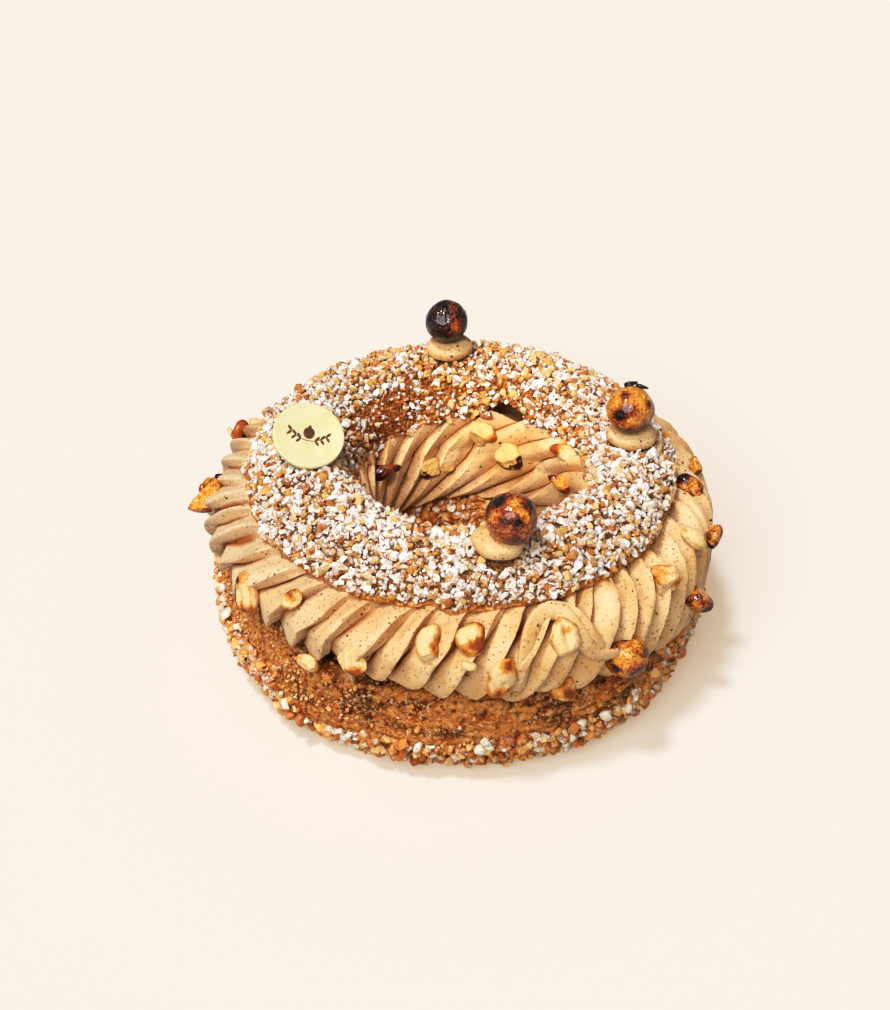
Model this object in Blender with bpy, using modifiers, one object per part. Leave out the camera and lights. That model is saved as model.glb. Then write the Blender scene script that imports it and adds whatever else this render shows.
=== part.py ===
"""Paris-brest pastry: a crown of choux split in two and filled with piped praline cream.

Metres, +Z up. The crown stands on z = 0. Caramelised hazelnuts and a chocolate disc sit on
dollops on the lid, and hazelnut halves and pieces are pressed into the cream.
"""

import math
import random

import bmesh
import bpy
import numpy as np
from mathutils import Matrix, Vector

MM = 0.001
TAU = 2.0 * math.pi
GAP = 0.3 * MM
POCKET_GROWTH = 0.42 * MM

# The crown's axis is the middle of the three hazelnuts and the disc. The hole and the wider
# rings, piped and baked by hand, drift from it by these amounts in X and Y.
CROWN_SHIFT = Vector((6.17 * MM, 1.27 * MM, 0.0))
HOLE_DRIFT = (-0.6 * MM, 0.0)
BASE_DRIFT = (-3.9 * MM, 0.0)
CREAM_DRIFT = (-4.0 * MM, -0.8 * MM)
LID_DRIFT = (-4.7 * MM, -1.8 * MM)
DRIFT_START_RADIUS = 31.0 * MM
DRIFT_FULL_RADIUS = 72.0 * MM

# Choux base: (radius, height), down the outer side, then in along the foot and up the hole.
BASE_OUTLINE = (
    (70.5, 27.0), (73.8, 22.5), (74.8, 16.0), (74.0, 10.0), (71.0, 4.0), (66.0, 0.0),
    (37.0, 0.0), (34.0, 5.0), (33.0, 13.0), (36.0, 20.5),
)
BASE_STEPS = 44
BASE_LUMP = 0.8 * MM
SPLIT_INNER = (36.0 * MM, 20.5 * MM)
SPLIT_OUTER = (70.5 * MM, 27.0 * MM)

# Choux lid: a dome over a flat underside, steeper towards the hole.
LID_UNDERSIDE = 55.5 * MM
LID_INNER_RADIUS = 33.8 * MM
LID_OUTER_RADIUS = 64.9 * MM
LID_CREST_RADIUS = 50.0 * MM
LID_RISE = 12.4 * MM
LID_RIM = 1.6 * MM
LID_INNER_POWER = 2.2
LID_OUTER_POWER = 1.6
LID_ARC_POINTS = 9
LID_STEPS = 44
LID_LUMP = 0.6 * MM

# Praline cream: a superellipse section that dips at the hole, with helical ridges.
CREAM_MID_RADIUS = 53.2 * MM
CREAM_MID_HEIGHT = 41.2 * MM
CREAM_HALF_WIDTH = 22.5 * MM
CREAM_HALF_HEIGHT = 14.5 * MM
CREAM_SQUARENESS = 2.6
CREAM_INNER_DIP = 6.0 * MM
OUTER_RIDGES = 54
INNER_RIDGES = 18
COLUMNS_PER_RIDGE = 2
CREAM_ROWS = 13
OUTER_RIDGE_DEPTH = 3.4 * MM
INNER_RIDGE_DEPTH = 2.8 * MM
TWIST_SECTION_ANGLES = (-90.0, -60.0, 60.0, 120.0, 240.0, 270.0)
TWIST_ANGLES = (0.0, 7.0, 21.0, 31.0, 93.0, 100.0)

# Toppings on the lid: the crown's axis to the topping, and the height of the dome there.
DOME_TOP = LID_UNDERSIDE + LID_RISE
DOLLOP_RADIUS = 7.2 * MM
DOLLOP_HEIGHT = 7.0 * MM
DOLLOP_SUNK = 1.6 * MM
DOLLOP_PLACES = {
    "back": (-7.0, 48.0),
    "right": (47.0, -1.5),
    "front": (6.0, -53.0),
    "left": (-49.5, -6.0),
}
TOP_HAZELNUTS = {
    "back": ((-8.0, 48.0, 79.0), 6.9),
    "right": ((46.0, -1.6, 78.4), 7.2),
    "front": ((9.4, -52.8, 77.2), 7.4),
}
DISC_CENTRE = Vector((-48.4, -9.4, 74.3)) * MM
DISC_NORMAL = Vector((0.22, -0.47, 0.855)).normalized()
DISC_RADIUS = 10.6 * MM
DISC_THICKNESS = 1.5 * MM
DISC_BEVEL = 0.45 * MM

# Nut pieces in the cream: kind, azimuth in degrees, height, (length, width, depth) in mm,
# turn about the way out in degrees, and how far the middle stands off the plain section in mm.
OUTER_NUTS = {
    "half_left": ("half", 180, 44.5, (13.6, 10.6, 10.0), 50, 4.2),
    "chunk_left_back": ("chunk", 155, 45.5, (8.4, 7.6, 6.2), 20, 1.8),
    "half_left_front": ("half", -143, 45.5, (12.0, 8.6, 7.0), 120, 1.4),
    "chip_left_front": ("chunk", -130, 51.0, (6.2, 5.4, 4.4), 100, 1.4),
    "chip_front_left": ("chunk", -124, 36.0, (5.8, 4.8, 4.0), 20, 2.2),
    "chunk_front_left": ("chunk", -113, 42.5, (10.4, 10.0, 6.4), 15, 1.8),
    "half_front_slim": ("half", -97, 50.3, (10.2, 6.9, 6.0), 95, 1.4),
    "half_front_gold": ("half", -88, 51.3, (9.8, 8.2, 6.2), 80, 1.4),
    "half_front_low": ("half", -82, 40.5, (12.6, 8.4, 7.0), 75, 1.9),
    "half_front_wide": ("half", -68, 49.2, (11.2, 9.6, 7.0), 110, 1.6),
    "wedge_front": ("chunk", -67, 31.5, (7.8, 7.6, 5.0), 0, 3.2),
    "hazelnut_side": ("whole", -53, 36.5, (13.2, 12.6, 12.4), 0, 2.0),
    "chunk_right_front": ("chunk", -39, 50.2, (10.6, 8.6, 6.4), 30, 1.8),
    "half_right": ("half", -25, 51.0, (9.0, 6.6, 5.4), 70, 1.4),
    "caramel_chunk_low": ("chunk", -28, 36.0, (9.4, 7.6, 8.0), 10, 4.0),
    "caramel_chunk_mid": ("chunk", -15, 46.0, (6.6, 5.4, 5.0), 80, 3.0),
    "caramel_chunk_rim": ("chunk", -4, 51.2, (9.0, 6.8, 5.4), 60, 0.2),
    "caramel_chip_rim": ("chunk", 5, 51.5, (5.4, 4.6, 4.0), 70, 1.8),
}
HOLE_NUTS = {
    "hole_chunk_back": ("chunk", 83, 47.5, (9.0, 8.4, 6.4), 30, 1.8),
    "hole_half_back": ("half", 64, 41.5, (10.6, 9.6, 7.0), 15, 1.8),
    "hole_chunk_left": ("chunk", 115, 37.0, (8.8, 6.6, 5.6), 10, 1.8),
    "hole_shell_right": ("half", 25, 50.6, (8.6, 5.6, 4.8), 0, 1.6),
    "hole_chip_right": ("chunk", 15, 44.6, (7.6, 4.8, 4.6), 10, 1.8),
    "hole_shard_left": ("chunk", 155, 45.0, (12.0, 5.4, 4.4), 5, 1.6),
}
CARAMELISED_NUTS = {
    "half_left", "hazelnut_side", "caramel_chunk_low", "caramel_chunk_mid", "caramel_chunk_rim",
    "caramel_chip_rim", "hole_shard_left", "hole_chip_right",
}

# Material finishes: colour, roughness.
FINISHES = {
    "choux_base": ((0.42, 0.19, 0.07, 1.0), 0.6),
    "choux_lid": ((0.62, 0.45, 0.30, 1.0), 0.75),
    "cream": ((0.72, 0.48, 0.24, 1.0), 0.5),
    "caramel_nut": ((0.45, 0.12, 0.02, 1.0), 0.15),
    "pale_nut": ((0.85, 0.62, 0.30, 1.0), 0.4),
    "white_chocolate": ((0.87, 0.79, 0.49, 1.0), 0.3),
}


def clear_scene():
    """Remove whatever the opened file holds."""
    for item in list(bpy.data.objects):
        bpy.data.objects.remove(item, do_unlink=True)


def new_collection(name):
    """Collection of the given name under the scene's own."""
    group = bpy.data.collections.new(name)
    bpy.context.scene.collection.children.link(group)
    return group


def finish_material(name):
    """Principled material from the table of finishes."""
    colour, roughness = FINISHES[name]
    material = bpy.data.materials.new(name)
    material.use_nodes = True
    shader = material.node_tree.nodes["Principled BSDF"]
    shader.inputs["Base Color"].default_value = colour
    shader.inputs["Roughness"].default_value = roughness
    shader.inputs["Metallic"].default_value = 0.0
    material.diffuse_color = colour
    return material


def drift(radius, full):
    """Sideways drift in X and Y of a ring, which grows from the hole's to the full one."""
    share = (radius - DRIFT_START_RADIUS) / (DRIFT_FULL_RADIUS - DRIFT_START_RADIUS)
    share = np.clip(share, 0.0, 1.0)
    return [start + (end - start) * share for start, end in zip(HOLE_DRIFT, full)]


def split_height(radius):
    """Height of the cut face on which the cream lies: a shallow cone that falls to the hole."""
    share = (radius - SPLIT_INNER[0]) / (SPLIT_OUTER[0] - SPLIT_INNER[0])
    return SPLIT_INNER[1] + (SPLIT_OUTER[1] - SPLIT_INNER[1]) * share


def signed_power(value, power):
    """Power of the size of a value, with the sign kept."""
    return np.sign(value) * np.abs(value) ** power


def cream_section(theta):
    """Radius and height of the cream's plain section at the section angle theta."""
    bend = 2.0 / CREAM_SQUARENESS
    reach = signed_power(np.cos(theta), bend)
    rise = signed_power(np.sin(theta), bend)
    low = np.clip(-rise, 0.0, 1.0) * np.clip(-reach + 0.3, 0.0, 1.0)
    radius = CREAM_MID_RADIUS + CREAM_HALF_WIDTH * reach
    height = CREAM_MID_HEIGHT + CREAM_HALF_HEIGHT * rise - CREAM_INNER_DIP * low
    return radius, height


def cream_face(height, towards_hole):
    """Radius and outward slope of the plain section at a height, on one of its two sides."""
    side = -1.0 if towards_hole else 1.0
    rise = (height - CREAM_MID_HEIGHT) / CREAM_HALF_HEIGHT
    reach = (1.0 - abs(rise) ** CREAM_SQUARENESS) ** (1.0 / CREAM_SQUARENESS)
    slope_out = reach ** (CREAM_SQUARENESS - 1.0) / CREAM_HALF_WIDTH
    slope_up = signed_power(rise, CREAM_SQUARENESS - 1.0) / CREAM_HALF_HEIGHT
    normal = Vector((side * slope_out, 0.0, float(slope_up))).normalized()
    return CREAM_MID_RADIUS + side * CREAM_HALF_WIDTH * reach, normal


def add_object(name, mesh, group, crown, material=None):
    """Object for a mesh, in its collection and under the crown's empty."""
    item = bpy.data.objects.new(name, mesh)
    group.objects.link(item)
    item.parent = crown
    if material is not None:
        mesh.materials.clear()
        mesh.materials.append(material)
    mesh.shade_smooth()
    mesh.set_sharp_from_angle(angle=math.radians(50.0))
    return item


def turned_mesh(name, outline, steps):
    """Mesh of a closed outline turned about Z by a Screw modifier."""
    points = [(radius, 0.0, height) for radius, height in outline]
    edges = [(i, (i + 1) % len(points)) for i in range(len(points))]
    profile = bpy.data.meshes.new(name + "_outline")
    profile.from_pydata(points, edges, [])
    guide = bpy.data.objects.new(name + "_outline", profile)
    bpy.context.scene.collection.objects.link(guide)
    screw = guide.modifiers.new("turn", "SCREW")
    screw.angle = TAU
    screw.steps = steps
    screw.render_steps = steps
    screw.use_merge_vertices = True
    screw.merge_threshold = 0.00001
    bpy.context.view_layer.update()
    turned = guide.evaluated_get(bpy.context.evaluated_depsgraph_get())
    mesh = bpy.data.meshes.new_from_object(turned)
    mesh.name = name
    bpy.data.objects.remove(guide, do_unlink=True)
    bpy.data.meshes.remove(profile)
    return mesh


def ring_lumps(mesh, size, keep_heights, full_drift):
    """Make a turned ring uneven in radius by slow waves, and drift it sideways."""
    points = np.empty(len(mesh.vertices) * 3)
    mesh.vertices.foreach_get("co", points)
    points = points.reshape(-1, 3)
    radius = np.hypot(points[:, 0], points[:, 1])
    azimuth = np.arctan2(points[:, 1], points[:, 0])
    height = points[:, 2]
    wave = np.sin(5 * azimuth + 0.8) + 0.7 * np.sin(9 * azimuth + 2.1 + 90.0 * height)
    wave += 0.6 * np.sin(14 * azimuth + 4.0 - 160.0 * height)
    loose = np.ones(len(height), dtype=bool)
    for fixed in keep_heights:
        loose &= np.abs(height - fixed) > 0.05 * MM
    swell = 1.0 + np.where(loose, 1.0, 0.35) * size * wave / 2.3 / radius
    side, depth = drift(radius, full_drift)
    points[:, 0] = points[:, 0] * swell + side
    points[:, 1] = points[:, 1] * swell + depth
    mesh.vertices.foreach_set("co", points.ravel())
    mesh.update()


def build_base(group, crown):
    """Choux base: rounded outer wall, flat foot, sloping cut face."""
    outline = [(radius * MM, height * MM) for radius, height in BASE_OUTLINE]
    mesh = turned_mesh("choux_base", outline, BASE_STEPS)
    ring_lumps(mesh, BASE_LUMP, (0.0,), BASE_DRIFT)
    return add_object("choux_base", mesh, group, crown, finish_material("choux_base"))


def lid_outline():
    """Outline of the lid from its outer rim up over the dome, down into the hole, and back."""
    points = []
    for i in range(LID_ARC_POINTS):
        turn = math.pi * i / (LID_ARC_POINTS - 1)
        inner = turn > 0.5 * math.pi
        bend = 2.0 / (LID_INNER_POWER if inner else LID_OUTER_POWER)
        edge = LID_INNER_RADIUS if inner else LID_OUTER_RADIUS
        radius = LID_CREST_RADIUS + (edge - LID_CREST_RADIUS) * abs(math.cos(turn)) ** bend
        height = LID_UNDERSIDE + LID_RIM + (LID_RISE - LID_RIM) * math.sin(turn) ** bend
        points.append((radius, height))
    points.append((LID_INNER_RADIUS + 1.2 * MM, LID_UNDERSIDE))
    points.append((LID_OUTER_RADIUS - 1.4 * MM, LID_UNDERSIDE))
    return points[::-1]


def build_lid(group, crown):
    """Choux lid: a thin-rimmed dome."""
    mesh = turned_mesh("choux_lid", lid_outline(), LID_STEPS)
    ring_lumps(mesh, LID_LUMP, (LID_UNDERSIDE,), LID_DRIFT)
    return add_object("choux_lid", mesh, group, crown, finish_material("choux_lid"))


def ridge_strength(degrees):
    """How much of the outer and of the inner ridges shows at a section angle."""
    outer = np.interp(degrees, (-90, -65, -40, 45, 80, 110), (0.15, 0.7, 1.0, 1.0, 0.2, 0.0))
    inner = np.interp(degrees, (80, 110, 135, 225, 255, 270), (0.0, 0.2, 1.0, 1.0, 0.15, 0.1))
    return outer * OUTER_RIDGE_DEPTH, inner * INNER_RIDGE_DEPTH


def build_cream(group, crown):
    """Praline cream: a ring whose grid columns follow the ridges, closed with a twist."""
    columns = OUTER_RIDGES * COLUMNS_PER_RIDGE
    per_inner = columns // INNER_RIDGES
    uneven = np.random.default_rng(11)
    outer_swell = uneven.uniform(-0.5 * MM, 0.5 * MM, OUTER_RIDGES)
    column = np.arange(columns)
    outer_wave = np.where(column % COLUMNS_PER_RIDGE == 0, -0.5, 0.5)
    inner_wave = 0.5 - 2.0 * np.abs((column % per_inner) / per_inner - 0.5)
    swell = outer_swell[column // COLUMNS_PER_RIDGE] * (outer_wave > 0)
    points = np.empty((CREAM_ROWS, columns, 3))
    for row in range(CREAM_ROWS):
        degrees = -90.0 + 360.0 * row / CREAM_ROWS
        theta = math.radians(degrees)
        outer_depth, inner_depth = ridge_strength(degrees)
        push = outer_depth * outer_wave - inner_depth * inner_wave
        push += swell * outer_depth / OUTER_RIDGE_DEPTH
        twist = math.radians(np.interp(degrees, TWIST_SECTION_ANGLES, TWIST_ANGLES))
        azimuth = TAU * column / columns + twist
        radius, height = cream_section(theta)
        radius = radius + push * math.cos(theta)
        height = height + push * math.sin(theta)
        height = np.minimum(height, LID_UNDERSIDE - GAP)
        height = np.maximum(height, split_height(radius) + GAP)
        side, depth = drift(radius, CREAM_DRIFT)
        points[row, :, 0] = radius * np.cos(azimuth) + side
        points[row, :, 1] = radius * np.sin(azimuth) + depth
        points[row, :, 2] = height
    closing_shift = round(TWIST_ANGLES[-1] / 360.0 * columns)
    faces = []
    for row in range(CREAM_ROWS):
        above = (row + 1) % CREAM_ROWS
        shift = closing_shift if above == 0 else 0
        for here in range(columns):
            beyond = (here + 1) % columns
            faces.append((
                row * columns + here,
                row * columns + beyond,
                above * columns + (beyond + shift) % columns,
                above * columns + (here + shift) % columns,
            ))
    mesh = bpy.data.meshes.new("praline_cream")
    mesh.from_pydata(points.reshape(-1, 3).tolist(), [], faces)
    return add_object("praline_cream", mesh, group, crown, finish_material("cream"))


def nut_mesh(name, kind, size, seed):
    """Mesh of a hazelnut, a half with a hollow face towards +Z, or a broken piece."""
    shape = bmesh.new()
    if kind == "whole":
        bmesh.ops.create_uvsphere(shape, u_segments=12, v_segments=8, radius=0.5)
    else:
        bmesh.ops.create_uvsphere(shape, u_segments=8, v_segments=6, radius=0.5)
    dice = random.Random(seed)
    planes = []
    if kind == "half":
        planes.append((Vector((0.0, 0.0, 0.12)), Vector((0.0, 0.0, 1.0))))
    if kind == "chunk":
        for turn in (0.4, 2.6, 4.5):
            away = Vector((math.cos(turn), math.sin(turn), dice.uniform(0.3, 0.9))).normalized()
            planes.append((away * dice.uniform(0.26, 0.34), away))
    for place, away in planes:
        geometry = shape.verts[:] + shape.edges[:] + shape.faces[:]
        cut = bmesh.ops.bisect_plane(
            shape, geom=geometry, plane_co=place, plane_no=away, clear_outer=True, dist=0.02
        )
        rim = [item for item in cut["geom_cut"] if isinstance(item, bmesh.types.BMEdge)]
        bmesh.ops.holes_fill(shape, edges=rim, sides=0)
    if kind == "half":
        face = max(shape.faces, key=lambda item: item.calc_area())
        bmesh.ops.inset_individual(shape, faces=[face], thickness=0.12)
        bmesh.ops.translate(shape, verts=face.verts, vec=Vector((0.0, 0.0, -0.07)))
    bmesh.ops.scale(shape, vec=Vector(size) * MM, verts=shape.verts)
    bmesh.ops.recalc_face_normals(shape, faces=shape.faces)
    mesh = bpy.data.meshes.new(name)
    shape.to_mesh(mesh)
    shape.free()
    return mesh


def nut_matrix(azimuth, height, turn, stand_off, towards_hole):
    """Placing of a nut piece on the cream: its +Z looks out of the cream."""
    radius, slope = cream_face(height * MM, towards_hole)
    around = Matrix.Rotation(math.radians(azimuth), 3, "Z")
    out = around @ slope
    place = around @ Vector((radius, 0.0, height * MM)) + out * stand_off * MM
    place += Vector((*drift(radius, CREAM_DRIFT), 0.0))
    side = Vector((0.0, 0.0, 1.0)).cross(out).normalized()
    upward = out.cross(side)
    facing = Matrix((side, upward, out)).transposed() @ Matrix.Rotation(math.radians(turn), 3, "Z")
    return Matrix.LocRotScale(place, facing, None)


def pocket_cutter(part, group, crown):
    """Wire copy of a part, a little larger all round, that cuts the pocket it sits in."""
    mesh = part.data.copy()
    mesh.materials.clear()
    shape = bmesh.new()
    shape.from_mesh(mesh)
    shape.normal_update()
    moves = [vertex.normal * POCKET_GROWTH for vertex in shape.verts]
    for vertex, move in zip(shape.verts, moves):
        vertex.co += move
    shape.to_mesh(mesh)
    shape.free()
    cutter = bpy.data.objects.new("pocket_" + part.name, mesh)
    group.objects.link(cutter)
    cutter.parent = crown
    cutter.matrix_local = part.matrix_local
    cutter.hide_render = True
    cutter.display_type = "WIRE"


def cut_pockets(part, seated, crown):
    """Cut the pockets of all the seated parts out of a part, in one exact Boolean."""
    group = new_collection("cutters_" + part.name)
    for piece in seated:
        pocket_cutter(piece, group, crown)
    cut = part.modifiers.new("pockets", "BOOLEAN")
    cut.operation = "DIFFERENCE"
    cut.solver = "EXACT"
    cut.operand_type = "COLLECTION"
    cut.collection = group


def build_nuts(group, crown):
    """Hazelnut halves and pieces in the cream's outer side and in the hole."""
    nuts = []
    for towards_hole, table in ((False, OUTER_NUTS), (True, HOLE_NUTS)):
        for name, (kind, azimuth, height, size, turn, stand_off) in table.items():
            mesh = nut_mesh(name, kind, size, len(nuts))
            finish = "caramel_nut" if name in CARAMELISED_NUTS else "pale_nut"
            nut = add_object(name, mesh, group, crown, finish_material(finish))
            nut.matrix_local = nut_matrix(azimuth, height, turn, stand_off, towards_hole)
            nuts.append(nut)
    return nuts


def build_dollops(group, crown):
    """Small rounded kisses of cream on the lid, pressed a little into it."""
    dollops = {}
    for side, (x, y) in DOLLOP_PLACES.items():
        shape = bmesh.new()
        bmesh.ops.create_uvsphere(shape, u_segments=12, v_segments=6, radius=1.0)
        bmesh.ops.scale(
            shape, vec=Vector((DOLLOP_RADIUS, DOLLOP_RADIUS, 0.5 * DOLLOP_HEIGHT)), verts=shape.verts
        )
        mesh = bpy.data.meshes.new("dollop_" + side)
        shape.to_mesh(mesh)
        shape.free()
        dollop = add_object("dollop_" + side, mesh, group, crown, finish_material("cream"))
        dollop.location = (x * MM, y * MM, DOME_TOP - DOLLOP_SUNK + 0.5 * DOLLOP_HEIGHT)
        dollops[side] = dollop
    return dollops


def build_top_hazelnuts(group, crown):
    """Caramelised whole hazelnuts on three of the dollops."""
    nuts = {}
    for side, (place, radius) in TOP_HAZELNUTS.items():
        mesh = nut_mesh("hazelnut_" + side, "whole", (2 * radius,) * 3, 0)
        nut = add_object("hazelnut_" + side, mesh, group, crown, finish_material("caramel_nut"))
        nut.location = Vector(place) * MM
        nuts[side] = nut
    return nuts


def build_disc(group, crown):
    """Thin round chocolate disc that leans on the fourth dollop."""
    shape = bmesh.new()
    bmesh.ops.create_cone(
        shape,
        cap_ends=True,
        segments=24,
        radius1=DISC_RADIUS,
        radius2=DISC_RADIUS,
        depth=DISC_THICKNESS,
    )
    mesh = bpy.data.meshes.new("chocolate_disc")
    shape.to_mesh(mesh)
    shape.free()
    disc = add_object("chocolate_disc", mesh, group, crown, finish_material("white_chocolate"))
    disc.location = DISC_CENTRE
    disc.rotation_mode = "QUATERNION"
    disc.rotation_quaternion = DISC_NORMAL.to_track_quat("Z", "Y")
    rounding = disc.modifiers.new("rounded_edge", "BEVEL")
    rounding.width = DISC_BEVEL
    rounding.segments = 1
    rounding.limit_method = "ANGLE"
    return disc


def main():
    """Build the pastry: rings, nuts, dollops and toppings, then the pockets they sit in."""
    clear_scene()
    pastry = new_collection("paris_brest")
    crown = bpy.data.objects.new("crown_axis", None)
    pastry.objects.link(crown)
    crown.location = CROWN_SHIFT
    build_base(pastry, crown)
    cream = build_cream(pastry, crown)
    lid = build_lid(pastry, crown)
    nuts = build_nuts(pastry, crown)
    dollops = build_dollops(pastry, crown)
    hazelnuts = build_top_hazelnuts(pastry, crown)
    disc = build_disc(pastry, crown)
    bpy.context.view_layer.update()
    cut_pockets(cream, nuts, crown)
    cut_pockets(lid, [*dollops.values(), disc], crown)
    cut_pockets(dollops["left"], [disc], crown)
    for side, nut in hazelnuts.items():
        cut_pockets(dollops[side], [nut], crown)


main()
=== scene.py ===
"""Paris-brest pastry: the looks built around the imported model.

A crown of choux split in two holds piped praline cream. Nuts are pressed into the cream,
chopped nuts and sugar cover the choux, and caramelised hazelnuts and a chocolate disc stand
on the lid. Shape sizes are in millimetres; meshes are written in metres in the row frame.
"""

import logging
import math
from dataclasses import dataclass
from enum import Enum
from typing import Any, Callable, Optional

import bpy
import numpy as np
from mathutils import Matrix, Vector


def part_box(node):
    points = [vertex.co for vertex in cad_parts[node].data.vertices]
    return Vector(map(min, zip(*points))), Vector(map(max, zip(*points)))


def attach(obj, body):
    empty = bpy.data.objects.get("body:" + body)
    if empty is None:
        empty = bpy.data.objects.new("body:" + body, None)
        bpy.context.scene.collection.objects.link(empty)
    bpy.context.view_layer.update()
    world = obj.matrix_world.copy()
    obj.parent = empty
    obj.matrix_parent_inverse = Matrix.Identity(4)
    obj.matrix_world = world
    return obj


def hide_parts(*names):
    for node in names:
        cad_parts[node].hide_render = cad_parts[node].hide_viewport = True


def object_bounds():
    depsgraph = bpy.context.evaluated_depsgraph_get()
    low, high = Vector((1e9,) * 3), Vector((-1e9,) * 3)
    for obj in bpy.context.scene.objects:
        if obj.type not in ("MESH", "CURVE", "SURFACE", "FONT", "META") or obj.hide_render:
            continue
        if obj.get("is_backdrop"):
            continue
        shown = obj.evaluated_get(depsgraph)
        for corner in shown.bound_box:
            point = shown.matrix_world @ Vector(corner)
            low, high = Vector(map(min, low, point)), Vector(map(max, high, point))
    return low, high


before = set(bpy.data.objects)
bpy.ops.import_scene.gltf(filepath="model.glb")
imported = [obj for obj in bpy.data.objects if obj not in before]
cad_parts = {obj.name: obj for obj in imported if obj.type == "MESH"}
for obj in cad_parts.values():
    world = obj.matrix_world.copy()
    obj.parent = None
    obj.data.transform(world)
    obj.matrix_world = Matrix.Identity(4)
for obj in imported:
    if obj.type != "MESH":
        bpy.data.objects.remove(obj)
CAD_BOX = [list(corner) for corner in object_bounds()]

LOG = logging.getLogger("paris_brest")
MM = 0.001
TAU = 2.0 * math.pi
Array = np.ndarray
Triple = tuple[float, float, float]
Colour = tuple[float, float, float, float]
Sockets = dict[str, Any]


class Slot(Enum):
    """Material slots of the record."""

    CRUST = "baked_crust"
    LID = "sugared_crust"
    CREAM = "praline_cream"
    CARAMEL = "caramelised_nut"
    NUT = "toasted_nut"
    CHOCOLATE = "white_chocolate"


class Side(Enum):
    """Where a nut piece sits, which sets the way it faces."""

    OUTER = "outer"
    HOLE = "hole"
    FORWARD = "forward"


# ---------------------------------------------------------------- numbers and surfaces


def paint(red: float, green: float, blue: float) -> Colour:
    """Linear colour with full alpha of a display colour given in steps of 0 to 255."""
    share = np.array((red, green, blue)) / 255.0
    linear = np.where(share <= 0.04045, share / 12.92, ((share + 0.055) / 1.055) ** 2.4)
    return (float(linear[0]), float(linear[1]), float(linear[2]), 1.0)


def signed_power(value: Array, power: float | Array) -> Array:
    """Power of the size of a value, with its sign kept."""
    return np.sign(value) * np.abs(value) ** power


def unit(vectors: Array) -> Array:
    """Vectors scaled to length one along the last axis."""
    return vectors / np.maximum(np.linalg.norm(vectors, axis=-1, keepdims=True), 1e-12)


def direction(azimuth: float, elevation: float) -> Triple:
    """Unit vector from an azimuth and an elevation in degrees."""
    turn, rise = math.radians(azimuth), math.radians(elevation)
    return math.cos(turn) * math.cos(rise), math.sin(turn) * math.cos(rise), math.sin(rise)


def bell(value: Array, middle: float, width: float) -> Array:
    """Bell of height one around the middle: e to the minus square of distance over width."""
    return np.exp(-(((value - middle) / width) ** 2))


def ease(value: Array, low: float | Array, high: float | Array) -> Array:
    """Smooth step from 0 at low to 1 at high: 3 t squared minus 2 t cubed."""
    share = np.clip((value - low) / (high - low), 0.0, 1.0)
    return share * share * (3.0 - 2.0 * share)


def turn_gap(degrees: Array, middle: float) -> Array:
    """Signed turn from one azimuth to others, between -180 and 180 degrees."""
    return (np.asarray(degrees) - middle + 180.0) % 360.0 - 180.0


def turn_bell(degrees: Array, middle: float, width: float) -> Array:
    """Bell of height one around an azimuth."""
    return bell(turn_gap(degrees, middle), 0.0, width)


def around_circle(count: int) -> Array:
    """Angles in radians that share a full turn evenly, as one row."""
    return (TAU * np.arange(count) / count)[None, :]


def lattice_noise(points: Array, cell: float | Array, seed: int) -> Array:
    """Smooth noise: scrambled values at the corners of cubes, eased between them.

    Args:
        points: places in mm, last axis of length 3.
        cell: side of a cube in mm, one number or three.
        seed: which noise.

    Returns:
        Values between -1 and 1, one for each place.
    """
    place = points.reshape(-1, 3) / cell
    base = np.floor(place).astype(np.int64)
    part = place - base
    part = part * part * (3.0 - 2.0 * part)
    total = np.zeros(len(place))
    factors = np.array((374761393, 668265263, 1442695041))
    for corner in range(8):
        bit = np.array((corner & 1, corner >> 1 & 1, corner >> 2 & 1))
        key = (base + bit) @ factors + seed * 1013904223
        key = (key ^ (key >> 13)) * 1274126177
        value = ((key ^ (key >> 16)) & 0xFFFF) / 32767.5 - 1.0
        total += value * np.prod(np.where(bit == 1, part, 1.0 - part), axis=1)
    return total.reshape(points.shape[:-1])


def layered_noise(points: Array, cell: float, layers: int, seed: int) -> Array:
    """Sum of lattice noises, each at half the cell and half the height of the last."""
    total = np.zeros(points.shape[:-1])
    for layer in range(layers):
        total += lattice_noise(points, cell / 2**layer, seed + 17 * layer) / 2**layer
    return total


def even_share(path: Array, count: int, weight: Array) -> Array:
    """Positions along a path that share its weighted length evenly.

    Args:
        path: points along the path, one per line.
        count: how many positions.
        weight: how densely each point's surroundings are wanted.

    Returns:
        Fractional indices into the path.
    """
    step = np.linalg.norm(np.diff(path, axis=0), axis=1) * 0.5 * (weight[1:] + weight[:-1])
    run = np.concatenate(((0.0,), np.cumsum(step)))
    return np.interp(np.linspace(0.0, run[-1], count), run, np.arange(len(path)))


def pick(values: Array, index: Array) -> Array:
    """Values at fractional indices along the first axis, in straight lines between."""
    low = np.clip(np.floor(index).astype(int), 0, len(values) - 2)
    share = (index - low).reshape((-1,) + (1,) * (values.ndim - 1))
    return values[low] * (1.0 - share) + values[low + 1] * share


def outline_normals(outline: Array) -> Array:
    """Unit normals of a closed outline of (radius, height), a quarter turn from its run."""
    run = np.roll(outline, -1, axis=0) - np.roll(outline, 1, axis=0)
    return unit(np.stack((run[:, 1], -run[:, 0]), axis=1))


def grid_normals(grid: Array) -> Array:
    """Unit normals of a grid that closes both ways: the cross product of its two runs."""
    along = np.roll(grid, -1, axis=1) - np.roll(grid, 1, axis=1)
    across = np.roll(grid, -1, axis=0) - np.roll(grid, 1, axis=0)
    return unit(np.cross(along, across))


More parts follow.
